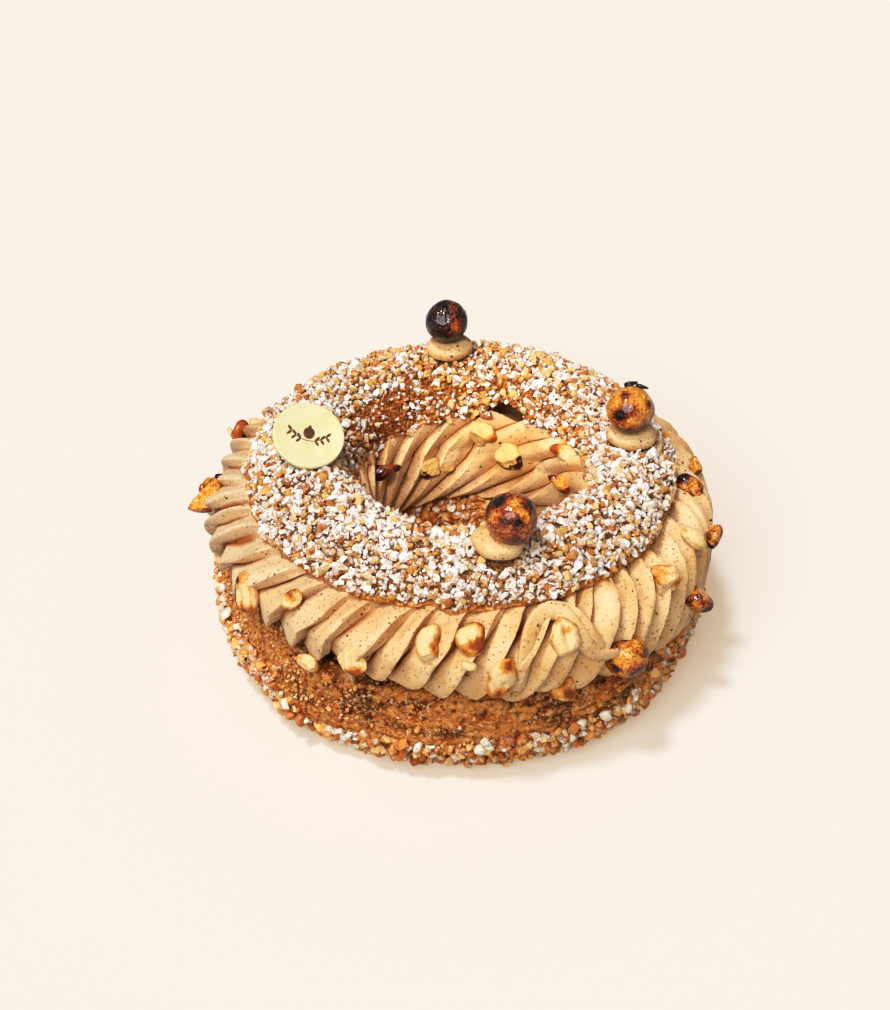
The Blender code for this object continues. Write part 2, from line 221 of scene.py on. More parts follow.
def grid_quads(rows: int, columns: int, wrap_rows: bool) -> Array:
    """Quads of a grid that closes around its columns, and around its rows if asked."""
    row = np.arange(rows if wrap_rows else rows - 1)[:, None]
    column = np.arange(columns)[None, :]
    above, beyond = (row + 1) % rows, (column + 1) % columns
    corners = (
        row * columns + column,
        row * columns + beyond,
        above * columns + beyond,
        above * columns + column,
    )
    return np.stack(np.broadcast_arrays(*corners), axis=-1).reshape(-1, 4)


def enclosed(points: Array, quads: Array) -> float:
    """Signed volume that quads enclose: the sum of pyramids from the middle of the points."""
    corner = points[quads] - points.mean(axis=0)
    halves = [np.cross(corner[:, i], corner[:, i + 1]) for i in (1, 2)]
    return float(sum(np.einsum("ij,ij->i", corner[:, 0], half) for half in halves).sum())


def write_mesh(
    name: str, points: Array, faces: list, smooth_below: float = 180.0
) -> bpy.types.Object:
    """Object made of places in mm and faces, linked to the scene.

    Args:
        name: name of the object.
        points: places in mm, one per line.
        faces: vertex numbers of each face.
        smooth_below: edges that bend more than this many degrees stay sharp.

    Returns:
        The object, at the origin and unturned.
    """
    mesh = bpy.data.meshes.new(name)
    mesh.from_pydata((points.reshape(-1, 3) * MM).tolist(), [], faces)
    mesh.shade_smooth()
    if smooth_below < 180.0:
        mesh.set_sharp_from_angle(angle=math.radians(smooth_below))
    piece = bpy.data.objects.new(name, mesh)
    bpy.context.scene.collection.objects.link(piece)
    return piece


def ring_piece(name: str, grid: Array, smooth_below: float = 180.0) -> bpy.types.Object:
    """Closed ring from a grid whose rows and columns both close, with faces outwards."""
    quads = grid_quads(*grid.shape[:2], True)
    if enclosed(grid.reshape(-1, 3), quads) < 0.0:
        quads = quads[:, ::-1]
    return write_mesh(name, grid, quads.tolist(), smooth_below)


def ball_piece(name: str, grid: Array, smooth_below: float = 180.0) -> bpy.types.Object:
    """Closed ball from a grid whose first and last rows are drawn together at two poles."""
    rows, columns = grid.shape[:2]
    poles = np.stack((grid[0].mean(axis=0), grid[-1].mean(axis=0)))
    points = np.concatenate((grid.reshape(-1, 3), poles))
    quads = grid_quads(rows, columns, False)
    column = np.arange(columns)
    beyond = (column + 1) % columns
    first = np.stack((np.full(columns, rows * columns), beyond, column), axis=1)
    top = (rows - 1) * columns
    last = np.stack((np.full(columns, rows * columns + 1), top + column, top + beyond), axis=1)
    faces = [quads, first, last]
    if enclosed(points, quads) < 0.0:
        faces = [part[:, ::-1] for part in faces]
    joined = [face for part in faces for face in part.tolist()]
    return write_mesh(name, points, joined, smooth_below)


def set_values(piece: bpy.types.Object, name: str, values: Array) -> None:
    """Store one number per vertex under a name that materials read; poles take the last."""
    store = piece.data.attributes.new(name, "FLOAT", "POINT")
    flat = np.asarray(values, np.float32).ravel()
    poles = np.full(len(piece.data.vertices) - len(flat), flat[-1])
    store.data.foreach_set("value", np.concatenate((flat, poles)))


def dress(piece: bpy.types.Object, material: bpy.types.Material) -> bpy.types.Object:
    """Give a piece one material."""
    piece.data.materials.clear()
    piece.data.materials.append(material)
    return piece


def settle(piece: bpy.types.Object, slot: Slot, *nodes: str) -> None:
    """Put a piece on the pastry's body, hide the CAD nodes it stands for, and log its triangles and
    slot.

    Args:
        piece: the finished piece.
        slot: the record's slot that its finish belongs to.
        nodes: names of the CAD nodes that it replaces.
    """
    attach(piece, "root")
    slot.value
    if nodes:
        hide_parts(*nodes)
    piece.data.calc_loop_triangles()
    count = len(piece.data.loop_triangles)
    LOG.info("%s: %d triangles, finish %s", piece.name, count, slot.value)


# ---------------------------------------------------------------- node work


class NodeDesk:
    """Lays out the nodes of one material or node group."""

    def __init__(self, tree: bpy.types.NodeTree) -> None:
        """Start with an emptied tree."""
        self.tree = tree
        tree.nodes.clear()

    def put(self, socket: bpy.types.NodeSocket, value: Any) -> None:
        """Link a socket to the socket given, or set it to the plain value given."""
        if isinstance(value, bpy.types.NodeSocket):
            self.tree.links.new(value, socket)
        else:
            socket.default_value = value

    def add(self, kind: str, inputs: Optional[dict] = None, **settings: Any) -> bpy.types.Node:
        """Add a node.

        Args:
            kind: Blender's class name of the node, without "ShaderNode".
            inputs: input name or number, and the socket or value it takes.
            settings: properties of the node.

        Returns:
            The node.
        """
        node = self.tree.nodes.new(kind if kind.startswith("Node") else "ShaderNode" + kind)
        for key, value in settings.items():
            setattr(node, key, value)
        for key, value in (inputs or {}).items():
            self.put(node.inputs[key], value)
        return node

    def stored(self, name: str) -> bpy.types.NodeSocket:
        """A number stored on the mesh by set_values."""
        return self.add("Attribute", attribute_name=name).outputs["Fac"]

    def noise(
        self, vector: Any, scale: Any, detail: float = 2.0, rough: float = 0.5
    ) -> bpy.types.NodeSocket:
        """Blender's noise, from 0 to 1, at a scale in waves per metre."""
        inputs = {"Vector": vector, "Scale": scale, "Detail": detail, "Roughness": rough}
        return self.add("TexNoise", inputs).outputs["Fac"]

    def calc(self, operation: str, first: Any, second: Any) -> bpy.types.NodeSocket:
        """One arithmetic step on two values."""
        return self.add("Math", {0: first, 1: second}, operation=operation).outputs[0]

    def times(self, first: Any, second: Any) -> bpy.types.NodeSocket:
        """Product of two values."""
        return self.calc("MULTIPLY", first, second)

    def plus(self, first: Any, *others: Any) -> bpy.types.NodeSocket:
        """Sum of two or more values."""
        for other in others:
            first = self.calc("ADD", first, other)
        return first

    def swing(self, value: Any, reach: float) -> bpy.types.NodeSocket:
        """A value from 0 to 1 made into one that swings about zero, this far in all."""
        return self.times(self.calc("SUBTRACT", value, 0.5), reach)

    def span(
        self, value: Any, low: Any, high: Any, start: float = 0.0, end: float = 1.0
    ) -> bpy.types.NodeSocket:
        """Ease a value from start at low to end at high."""
        ends = {"From Min": low, "From Max": high, "To Min": start, "To Max": end}
        node = self.add("MapRange", {"Value": value} | ends, interpolation_type="SMOOTHSTEP")
        return node.outputs["Result"]

    def blend(self, share: Any, first: Any, second: Any) -> bpy.types.NodeSocket:
        """Colour between two colours."""
        return self.add("Mix", {0: share, 6: first, 7: second}, data_type="RGBA").outputs[2]

    def ramp(self, value: Any, stops: tuple[tuple[float, Colour], ...]) -> bpy.types.NodeSocket:
        """Colour read off a ramp."""
        node = self.add("ValToRGB", {"Fac": value})
        elements = node.color_ramp.elements
        while len(elements) < len(stops):
            elements.new(0.5)
        for element, (position, colour) in zip(elements, stops):
            element.position = position
            element.color = colour
        return node.outputs["Color"]

    def bump(self, height: Any, distance: float) -> bpy.types.NodeSocket:
        """Normal tilted by a height, whose full range is a distance in metres."""
        inputs = {"Height": height, "Distance": distance, "Strength": 1.0}
        return self.add("Bump", inputs).outputs["Normal"]

    def effect(self, group: Callable[[], bpy.types.NodeTree], **inputs: Any) -> Any:
        """Outputs of a shared effect, placed with its own values."""
        node = self.add("Group", node_tree=group())
        for key, value in inputs.items():
            self.put(node.inputs[key.capitalize()], value)
        return node.outputs


def shared_effect(inputs: dict[str, str], outputs: dict[str, str]) -> Callable:
    """Decorator that turns a function laying out nodes into a node group built only once.

    Args:
        inputs: name and kind (Vector or Float) of each input.
        outputs: name and kind (Float or Color) of each output.

    Returns:
        The decorator. The function takes a desk and the group's inputs and gives the
        socket of each output; the group has the function's name.
    """

    def decorate(lay_out: Callable[[NodeDesk, Any], Sockets]) -> Callable[[], bpy.types.NodeTree]:
        """Wrap one effect."""

        def group() -> bpy.types.NodeTree:
            """The effect's node group."""
            name = lay_out.__name__
            if name in bpy.data.node_groups:
                return bpy.data.node_groups[name]
            tree = bpy.data.node_groups.new(name, "ShaderNodeTree")
            for way, sockets in (("INPUT", inputs), ("OUTPUT", outputs)):
                for label, kind in sockets.items():
                    tree.interface.new_socket(label, in_out=way, socket_type="NodeSocket" + kind)
            desk = NodeDesk(tree)
            desk.add("NodeGroupOutput", lay_out(desk, desk.add("NodeGroupInput").outputs))
            return tree

        return group

    return decorate


@shared_effect(
    {"Vector": "Vector", "Amount": "Float", "Scale": "Float"},
    {"Mask": "Float", "Height": "Float", "Tint": "Color"},
)
def sugar_dust(desk: NodeDesk, taken: Any) -> Sockets:
    """Icing sugar that lies on faces looking up, broken up into specks.

    Takes Vector, Amount (0 to 1) and Scale (specks per metre). Gives Mask, Height and Tint,
    which is white with beige shadows where the sugar is thin.
    """
    vector, scale = taken["Vector"], taken["Scale"]
    normal = desk.add("NewGeometry").outputs["Normal"]
    upward = desk.times(desk.add("SeparateXYZ", {"Vector": normal}).outputs["Z"], 0.34)
    specks = desk.noise(vector, scale, 3.0, 0.65)
    clouds = desk.times(desk.noise(vector, desk.times(scale, 0.16)), 0.45)
    amount = desk.times(taken["Amount"], 0.9)
    mask = desk.span(desk.plus(upward, desk.times(specks, 1.8), clouds, amount), 1.58, 1.84)
    thin = desk.span(desk.noise(vector, 1100.0, 4.0, 0.7), 0.42, 0.66)
    tint = desk.blend(thin, paint(250, 245, 240), paint(226, 206, 186))
    return {"Mask": mask, "Height": desk.times(mask, specks), "Tint": tint}


@shared_effect(
    {"Vector": "Vector", "Scale": "Float", "Size": "Float", "Share": "Float"}, {"Mask": "Float"}
)
def nut_flecks(desk: NodeDesk, taken: Any) -> Sockets:
    """Small round specks in a part of the cells of a Voronoi pattern.

    Takes Vector, Scale (cells per metre), Size (radius as a share of a cell) and Share
    (part of the cells that hold one). Gives Mask.
    """
    vector = taken["Vector"]
    wobble = desk.add("TexNoise", {"Vector": vector, "Scale": 1400.0, "Detail": 1.0})
    shift = {0: wobble.outputs["Color"], "Scale": 0.0007}
    moved = desk.add("VectorMath", shift, operation="SCALE").outputs[0]
    spot = desk.add("VectorMath", {0: vector, 1: moved}, operation="ADD").outputs[0]
    cells = desk.add("TexVoronoi", {"Vector": spot, "Scale": taken["Scale"]}).outputs
    luck = desk.add("SeparateColor", {"Color": cells["Color"]}).outputs
    size = desk.times(taken["Size"], desk.span(luck["Green"], 0.0, 1.0, 0.6, 1.3))
    near = desk.span(cells["Distance"], desk.times(size, 1.25), desk.times(size, 0.75))
    return {"Mask": desk.times(near, desk.calc("LESS_THAN", luck["Red"], taken["Share"]))}


@shared_effect(
    {"Vector": "Vector", "Scale": "Float", "Cover": "Float"}, {"Mask": "Float", "Mottle": "Float"}
)
def toasting(desk: NodeDesk, taken: Any) -> Sockets:
    """Patches browned by the oven over a finer mottling.

    Takes Vector, Scale (patches per metre) and Cover (0 to 1). Gives Mask and Mottle.
    """
    patches = desk.noise(taken["Vector"], taken["Scale"], 3.0, 0.6)
    mottle = desk.noise(taken["Vector"], desk.times(taken["Scale"], 4.3), 4.0, 0.7)
    level = desk.plus(patches, desk.times(mottle, 0.35), desk.times(taken["Cover"], 0.6))
    return {"Mask": desk.span(level, 0.86, 1.12), "Mottle": mottle}


@shared_effect({"Vector": "Vector", "Scale": "Float"}, {"Height": "Float"})
def crumb_relief(desk: NodeDesk, taken: Any) -> Sockets:
    """Open baked or broken surface: coarse crumbs with finer grit on them.

    Takes Vector and Scale (crumbs per metre). Gives Height.
    """
    vector, scale = taken["Vector"], taken["Scale"]
    cells = desk.add("TexVoronoi", {"Vector": vector, "Scale": scale}, feature="SMOOTH_F1")
    crumbs = desk.calc("SUBTRACT", 1.0, cells.outputs["Distance"])
    grit = desk.noise(vector, desk.times(scale, 2.7), 4.0, 0.7)
    return {"Height": desk.plus(desk.times(crumbs, 0.6), desk.times(grit, 0.6))}


# ---------------------------------------------------------------- finishes


@dataclass(frozen=True)
class Finish:
    """A material: each kind of finish gives the inputs of its Principled shader."""

    name: str

    def inputs(self, desk: NodeDesk, where: bpy.types.NodeSocket) -> Sockets:
        """Inputs of the shader, from object coordinates, which are row-frame metres."""
        raise NotImplementedError

    def build(self) -> bpy.types.Material:
        """The material."""
        material = bpy.data.materials.new(self.name)
        material.use_nodes = True
        desk = NodeDesk(material.node_tree)
        where = desk.add("TexCoord").outputs["Object"]
        shader = desk.add("BsdfPrincipled", self.inputs(desk, where))
        desk.add("OutputMaterial", {"Surface": shader.outputs["BSDF"]})
        return material


@dataclass(frozen=True)
class CreamFinish(Finish):
    """Smooth tan praline cream with ground-nut specks. Its grooves and steep drops are darkened as
    painted shade, and its left side is made paler as painted light.

    Each kind of fleck is its scale, size, share of cells and strength.
    """

    name: str = "praline_cream"
    body: Colour = paint(229, 193, 148)
    deep: Colour = paint(216, 171, 118)
    # Colour of painted shade in grooves, on steep drops and under the lid's arch.
    painted_shade: Colour = paint(150, 88, 38)
    # Paler tint of the left side: painted light, where that side is more strongly lit.
    painted_light_tint: Colour = paint(224, 200, 168)
    speck: Colour = paint(144, 92, 44)
    fleck: Colour = paint(76, 44, 26)
    specks: tuple[float, ...] = (900.0, 0.27, 0.6, 0.6)
    dark_flecks: tuple[float, ...] = (520.0, 0.17, 0.18, 0.92)
    large_flecks: tuple[float, ...] = (320.0, 0.13, 0.05, 0.95)

    def inputs(self, desk: NodeDesk, where: bpy.types.NodeSocket) -> Sockets:
        """Slow tone change, paler left side as painted light, painted shade in grooves, fine
        specks, sparse dark flecks and a soft sheen.
        """
        colour = desk.blend(desk.span(desk.noise(where, 90.0), 0.35, 0.7), self.body, self.deep)
        # Painted light: blend towards the paler tint around the left side.
        colour = desk.blend(desk.stored("pale"), colour, self.painted_light_tint)
        # Painted shade: darker towards the shade colour in grooves, on steep drops, under the lid's
        # arch and under the join ribbons.
        colour = desk.blend(desk.span(desk.stored("painted_shade"), 0.0, 1.0), colour, self.painted_shade)
        area = desk.span(desk.noise(where, 130.0), 0.38, 0.62, 0.35, 1.0)
        dust = desk.span(desk.noise(where, 2600.0, 2.0, 0.6), 0.52, 0.68, 0.0, 0.55)
        colour = desk.blend(desk.times(dust, area), colour, self.speck)
        masks = []
        kinds = (
            (self.specks, self.speck),
            (self.dark_flecks, self.fleck),
            (self.large_flecks, self.fleck),
        )
        for (scale, size, share, strength), tone in kinds:
            flecks = desk.effect(nut_flecks, vector=where, scale=scale, size=size, share=share)
            colour = desk.blend(desk.times(flecks["Mask"], strength), colour, tone)
            masks.append(flecks["Mask"])
        pits = desk.plus(desk.times(masks[1], -0.5), desk.times(dust, -0.35))
        return {
            "Base Color": colour,
            "Roughness": desk.span(desk.noise(where, 400.0), 0.3, 0.7, 0.44, 0.58),
            "Specular IOR Level": 0.5,
            "Normal": desk.bump(desk.plus(desk.noise(where, 650.0, 3.0), pits), 0.0002),
            "Subsurface Weight": 0.1,
            "Subsurface Radius": (0.003, 0.0015, 0.0006),
            "Subsurface Scale": 0.5,
        }


@dataclass(frozen=True)
class CrustFinish(Finish):
    """Baked choux crust, from golden to dark brown, with pores and a trace of sugar."""

    gold: Colour
    brown: Colour
    dark: Colour
    cover: float
    sugar: float
    gloss: float
    sand: Colour = paint(250, 208, 148)
    grit: Colour = paint(255, 212, 150)

    def inputs(self, desk: NodeDesk, where: bpy.types.NodeSocket) -> Sockets:
        """Browning patches, sandy mottling, pored relief with painted shade in its low spots,
        glints and sugar specks.
        """
        patch = desk.effect(toasting, vector=where, scale=150.0, cover=self.cover)
        relief = desk.effect(crumb_relief, vector=where, scale=560.0)["Height"]
        pores = desk.effect(nut_flecks, vector=where, scale=300.0, size=0.22, share=0.16)["Mask"]
        amount = desk.times(desk.stored("sugar"), self.sugar)
        dust = desk.effect(sugar_dust, vector=where, amount=amount, scale=1400.0)
        colour = desk.blend(patch["Mask"], self.gold, self.brown)
        colour = desk.blend(desk.times(desk.stored("burnt"), 0.85), colour, self.dark)
        sand = desk.span(desk.noise(where, 760.0, 4.0, 0.75), 0.54, 0.65, 0.0, 0.85)
        colour = desk.blend(sand, colour, self.sand)
        grit = desk.noise(where, 820.0, 4.0, 0.75)
        colour = desk.blend(desk.span(grit, 0.52, 0.60, 0.0, 0.9), colour, self.grit)
        # Painted shade: darker in the low spots of the relief and of the grit.
        low = desk.calc("MAXIMUM", desk.span(relief, 0.50, 0.40), desk.span(grit, 0.46, 0.38))
        colour = desk.blend(desk.times(low, 0.6), colour, self.dark)
        colour = desk.blend(desk.times(pores, 0.7), colour, self.dark)
        colour = desk.blend(dust["Mask"], colour, dust["Tint"])
        height = desk.calc("SUBTRACT", relief, desk.times(pores, 0.5))
        height = desk.plus(height, desk.times(dust["Height"], 0.5), desk.times(grit, 0.9))
        return {
            "Base Color": colour,
            "Roughness": desk.span(desk.noise(where, 500.0), 0.35, 0.65, self.gloss, 0.75),
            "Specular IOR Level": 0.25,
            "Normal": desk.bump(height, 0.0015),
        }


@dataclass(frozen=True)
class GrainFinish(Finish):
    """Chopped nuts: pale to golden to brown by grain, under icing sugar."""

    tones: tuple[tuple[float, Colour], ...]
    toast: Colour = paint(146, 78, 30)
    skin: Colour = paint(120, 66, 28)

    def inputs(self, desk: NodeDesk, where: bpy.types.NodeSocket) -> Sockets:
        """Tone stored on each grain, darker skin scraps, sugar on the upper faces."""
        patch = desk.effect(toasting, vector=where, scale=700.0, cover=0.1)
        colour = desk.ramp(desk.stored("tone"), self.tones)
        colour = desk.blend(desk.times(patch["Mask"], 0.45), colour, self.toast)
        speckle = desk.span(desk.noise(where, 2400.0, 3.0, 0.7), 0.56, 0.70, 0.0, 0.6)
        colour = desk.blend(speckle, colour, self.skin)
        dust = desk.effect(sugar_dust, vector=where, amount=desk.stored("sugar"), scale=1500.0)
        relief = desk.effect(crumb_relief, vector=where, scale=1800.0)["Height"]
        return {
            "Base Color": desk.blend(dust["Mask"], colour, dust["Tint"]),
            "Roughness": desk.span(dust["Mask"], 0.0, 1.0, 0.42, 0.85),
            "Normal": desk.bump(desk.plus(relief, dust["Height"]), 0.00035),
            "Subsurface Weight": 0.08,
            "Subsurface Radius": (0.002, 0.001, 0.0006),
        }


@dataclass(frozen=True)
class SugarFinish(Finish):
    """White sugar, a little translucent."""

    name: str = "white_sugar"
    white: Colour = paint(244, 234, 216)
    shadow: Colour = paint(222, 200, 170)

    def inputs(self, desk: NodeDesk, where: bpy.types.NodeSocket) -> Sockets:
        """White with faint cream shadows, granular relief and small glints."""
        tone = desk.span(desk.noise(where, 900.0, 3.0), 0.35, 0.7)
        relief = desk.effect(crumb_relief, vector=where, scale=1500.0)["Height"]
        return {
            "Base Color": desk.blend(tone, self.white, self.shadow),
            "Roughness": desk.span(desk.noise(where, 1500.0), 0.3, 0.7, 0.35, 0.7),
            "Normal": desk.bump(relief, 0.0003),
            "Subsurface Weight": 0.3,
            "Subsurface Radius": (0.0015, 0.0013, 0.0011),
        }


@dataclass(frozen=True)
class NutFinish(Finish):
    """Roasted hazelnut flesh with golden patches and scraps of brown skin."""

    flesh: Colour = paint(240, 208, 160)
    gold: Colour = paint(218, 146, 58)
    warm: Colour = paint(230, 178, 112)
    brown: Colour = paint(158, 80, 24)
    skin: Colour = paint(66, 26, 14)

    def inputs(self, desk: NodeDesk, where: bpy.types.NodeSocket) -> Sockets:
        """Toast and skin stored on the mesh, over mottled waxy flesh."""
        mottle = desk.effect(toasting, vector=where, scale=420.0, cover=0.0)["Mottle"]
        toast = desk.plus(desk.stored("toast"), desk.swing(mottle, 0.7))
        colour = desk.blend(desk.span(mottle, 0.35, 0.7, 0.0, 0.6), self.flesh, self.warm)
        colour = desk.blend(desk.span(toast, 0.16, 0.5), colour, self.gold)
        colour = desk.blend(desk.span(toast, 0.5, 0.85), colour, self.brown)
        skin = desk.plus(desk.stored("skin"), desk.swing(mottle, 0.6))
        relief = desk.effect(crumb_relief, vector=where, scale=900.0)["Height"]
        return {
            "Base Color": desk.blend(desk.span(skin, 0.4, 0.62), colour, self.skin),
            "Roughness": desk.span(mottle, 0.3, 0.7, 0.34, 0.5),
            "Normal": desk.bump(relief, 0.00045),
            "Subsurface Weight": 0.08,
            "Subsurface Radius": (0.004, 0.0022, 0.0008),
            "Subsurface Scale": 0.5,
        }


@dataclass(frozen=True)
class CaramelFinish(Finish):
    """Hard amber caramel over a nut, burnt dark in places."""

    name: str = "caramel"
    glow: Colour = paint(240, 168, 66)
    amber: Colour = paint(166, 78, 22)
    maroon: Colour = paint(88, 32, 16)
    burnt: Colour = paint(22, 10, 8)

    def inputs(self, desk: NodeDesk, where: bpy.types.NodeSocket) -> Sockets:
        """Burning stored on the mesh, clear wet coat and a bubbled relief."""
        mottle = desk.effect(toasting, vector=where, scale=380.0, cover=0.0)["Mottle"]
        fine = desk.swing(desk.noise(where, 1000.0, 3.0, 0.7), 0.9)
        burn = desk.plus(desk.stored("burn"), desk.swing(mottle, 1.1), fine)
        stops = ((0.0, self.glow), (0.36, self.amber), (0.7, self.maroon), (1.0, self.burnt))
        bubbles = desk.effect(nut_flecks, vector=where, scale=700.0, size=0.28, share=0.5)
        height = desk.plus(desk.noise(where, 900.0, 3.0), desk.times(bubbles["Mask"], 0.4))
        return {
            "Base Color": desk.ramp(desk.span(burn, 0.0, 1.0), stops),
            "Roughness": desk.span(mottle, 0.35, 0.7, 0.14, 0.34),
            "Normal": desk.bump(height, 0.0014),
            "Coat Weight": desk.span(mottle, 0.3, 0.7, 1.0, 0.6),
            "Coat Roughness": 0.06,
            "Coat IOR": 1.55,
            "Subsurface Weight": 0.12,
            "Subsurface Radius": (0.004, 0.0012, 0.0003),
        }


@dataclass(frozen=True)
class ChocolateFinish(Finish):
    """Satin ivory chocolate with the faintest clouding."""

    name: str = "ivory_chocolate"
    ivory: Colour = paint(222, 211, 168)
    cloud: Colour = paint(216, 204, 154)

    def inputs(self, desk: NodeDesk, where: bpy.types.NodeSocket) -> Sockets:
        """Ivory, a little clouded, with a satin sheen."""
        cloud = desk.span(desk.noise(where, 160.0, 3.0), 0.3, 0.7)
        return {
            "Base Color": desk.blend(cloud, self.ivory, self.cloud),
            "Roughness": desk.span(desk.noise(where, 700.0), 0.3, 0.7, 0.32, 0.42),
            "Normal": desk.bump(desk.noise(where, 1200.0), 0.00003),
            "Subsurface Weight": 0.2,
            "Subsurface Radius": (0.003, 0.002, 0.001),
        }


@dataclass(frozen=True)
class PrintFinish(Finish):
    """Matt cocoa print on the chocolate disc."""

    name: str = "cocoa_print"
    light: Colour = paint(112, 76, 50)
    dark: Colour = paint(90, 56, 36)

    def inputs(self, desk: NodeDesk, where: bpy.types.NodeSocket) -> Sockets:
        """Brown, a little uneven."""
        tone = desk.span(desk.noise(where, 900.0, 3.0), 0.35, 0.65)
        return {"Base Color": desk.blend(tone, self.light, self.dark), "Roughness": 0.5}


@dataclass(frozen=True)
class FloorFinish(Finish):
    """Pale floor that glows a little to the camera, so that shadows on it stay light."""

    name: str = "pale_floor"
    tone: Colour = (0.45, 0.462, 0.462, 1.0)
    glow: Colour = (0.384, 0.272, 0.172, 1.0)

    def inputs(self, desk: NodeDesk, where: bpy.types.NodeSocket) -> Sockets:
        """Plain matt tone and a glow that lights nothing else."""
        return {
            "Base Color": self.tone,
            "Emission Color": self.glow,
            "Emission Strength": desk.add("LightPath").outputs["Is Camera Ray"],
            "Roughness": 0.9,
            "Specular IOR Level": 0.0,
        }


# ---------------------------------------------------------------- the crown

RIGHT_NUT_FROM_AXIS = (46.0, -1.6)

# Azimuths in degrees, from +X towards +Y.
FRONT = -84.0
FRONT_RIGHT = -16.0
OPENING = 69.0


def box_middle(node: str) -> Array:
    """Middle of a CAD node's box in mm."""
    low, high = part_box(node)
    return (np.array(low) + np.array(high)) * 500.0


@dataclass(frozen=True)
class Crown:
    """The crown's axis, and the drift of its rings, which are piped and baked by hand.

    A drift is how far a ring's widest part lies from the axis, in X and Y.
    """

    x: float
    y: float
    hole_drift: tuple[float, float] = (-0.6, 0.0)
    base_drift: tuple[float, float] = (-3.9, 0.0)
    cream_drift: tuple[float, float] = (-4.0, -0.8)
    lid_drift: tuple[float, float] = (-4.7, -1.8)
    slope_at: tuple[float, ...] = (
        -180, -165, -150, -130, -110, -90, -78, -60, -45, -30, -10, 20, 50, 100, 140, 180,
    )
    slope: tuple[float, ...] = (
        7.0, 8.5, 8.5, 7.0, 5.2, 4.0, 2.6, 0.8, -2.0, -4.0, -5.0, -3.5, 0.0, 0.0, 2.0, 7.0,
    )
    drift_from: float = 31.0
    drift_to: float = 72.0

    @classmethod
    def from_frame(cls) -> "Crown":
        """Axis found from the right-hand hazelnut, which stands at a known place from it."""
        middle = box_middle("hazelnut_right")
        return cls(middle[0] - RIGHT_NUT_FROM_AXIS[0], middle[1] - RIGHT_NUT_FROM_AXIS[1])

    def cream_slope(self, azimuth: Array) -> Array:
        """How much higher than level the outer lower edge of the cream lies, in mm."""
        return np.interp(turn_gap(np.degrees(azimuth), 0.0), self.slope_at, self.slope)

    def distance(self, place: Array) -> Array:
        """Distance in mm of places from the axis."""
        return np.hypot(place[..., 0] - self.x, place[..., 1] - self.y)

    def place(
        self, radius: Array, azimuth: Array, height: Array, full: tuple[float, float]
    ) -> Array:
        """Places from cylinder coordinates, moved sideways in step with the radius.

        Args:
            radius: distance from the axis in mm.
            azimuth: angle in radians, from +X towards +Y.
            height: height in mm.
            full: drift in X and Y of the widest ring.

        Returns:
            Places in mm, with a last axis of length 3.
        """
        share = np.clip((radius - self.drift_from) / (self.drift_to - self.drift_from), 0.0, 1.0)
        side = self.hole_drift[0] + (full[0] - self.hole_drift[0]) * share
        depth = self.hole_drift[1] + (full[1] - self.hole_drift[1]) * share
        x = self.x + radius * np.cos(azimuth) + side
        y = self.y + radius * np.sin(azimuth) + depth
        return np.stack(np.broadcast_arrays(x, y, height), axis=-1)


@dataclass(frozen=True)
class BladeKnots:
    """Cross-section of a blade: a face up to a crest or a flat band, and a steep drop.

    The section is a chain of straight runs between knots, one knot for each column of the
    grid, so that its edges stay crisp. A knot's place is its share of the face, of the band
    before the crest and of the drop past it; its level is its height as a share.
    """

    face: tuple[float, ...]
    band: tuple[float, ...]
    drop: tuple[float, ...]
    level: tuple[float, ...]
    foot: float

    def across(self, step: Array, crest: Array, band: Array) -> Array:
        """Place of knots across the blade, sliding with its crest and its band's width."""
        face = np.array(self.face)[step]
        start = np.where(step > 0, self.foot, 0.0) * (1.0 - face)
        drop = np.array(self.drop)[step] * (1.0 - crest)
        return start + face * (crest - band) + np.array(self.band)[step] * band + drop


@dataclass(frozen=True)
class StrandPlan:
    """What differs between the outer blades and the blades in the hole.

    Angles of the section are in degrees, from the outer side over the top; shown are those
    that can be seen, and the blades fade along them.
    """

    name: str
    outer: bool
    rows: int
    blades: int
    seed: int
    knots: BladeKnots
    depth: float
    ends: tuple[float, float]
    shown: tuple[float, float]
    uneven: float
    strength: tuple[float, float]
    fade_at: tuple[float, ...]
    fade: tuple[float, ...]
    drop_after: int


OUTER_STRAND = StrandPlan(
    name="outer",
    outer=True,
    rows=118,
    blades=51,
    seed=21,
    knots=BladeKnots(
        face=(0.0, 0.0, 0.2, 0.4, 0.6, 0.8) + (1.0,) * 9,
        band=(0.0,) * 7 + (0.34, 0.67) + (1.0,) * 6,
        drop=(0.0,) * 10 + (0.20, 0.34, 0.46, 0.64, 0.92),
        level=(
            0.0, 0.06, 0.19, 0.36, 0.56, 0.77, 0.95, 0.975, 0.99, 1.0, 0.92, 0.66, 0.38, 0.14, 0.02,
        ),
        foot=0.05,
    ),
    depth=5.0,
    ends=(-90.0, 90.0),
    shown=(-80.0, 66.0),
    uneven=0.34,
    strength=(0.42, 1.12),
    fade_at=(-90.0, -76.0, -60.0, 50.0, 78.0, 90.0),
    fade=(0.3, 0.95, 1.0, 1.0, 0.4, 0.1),
    drop_after=9,
)
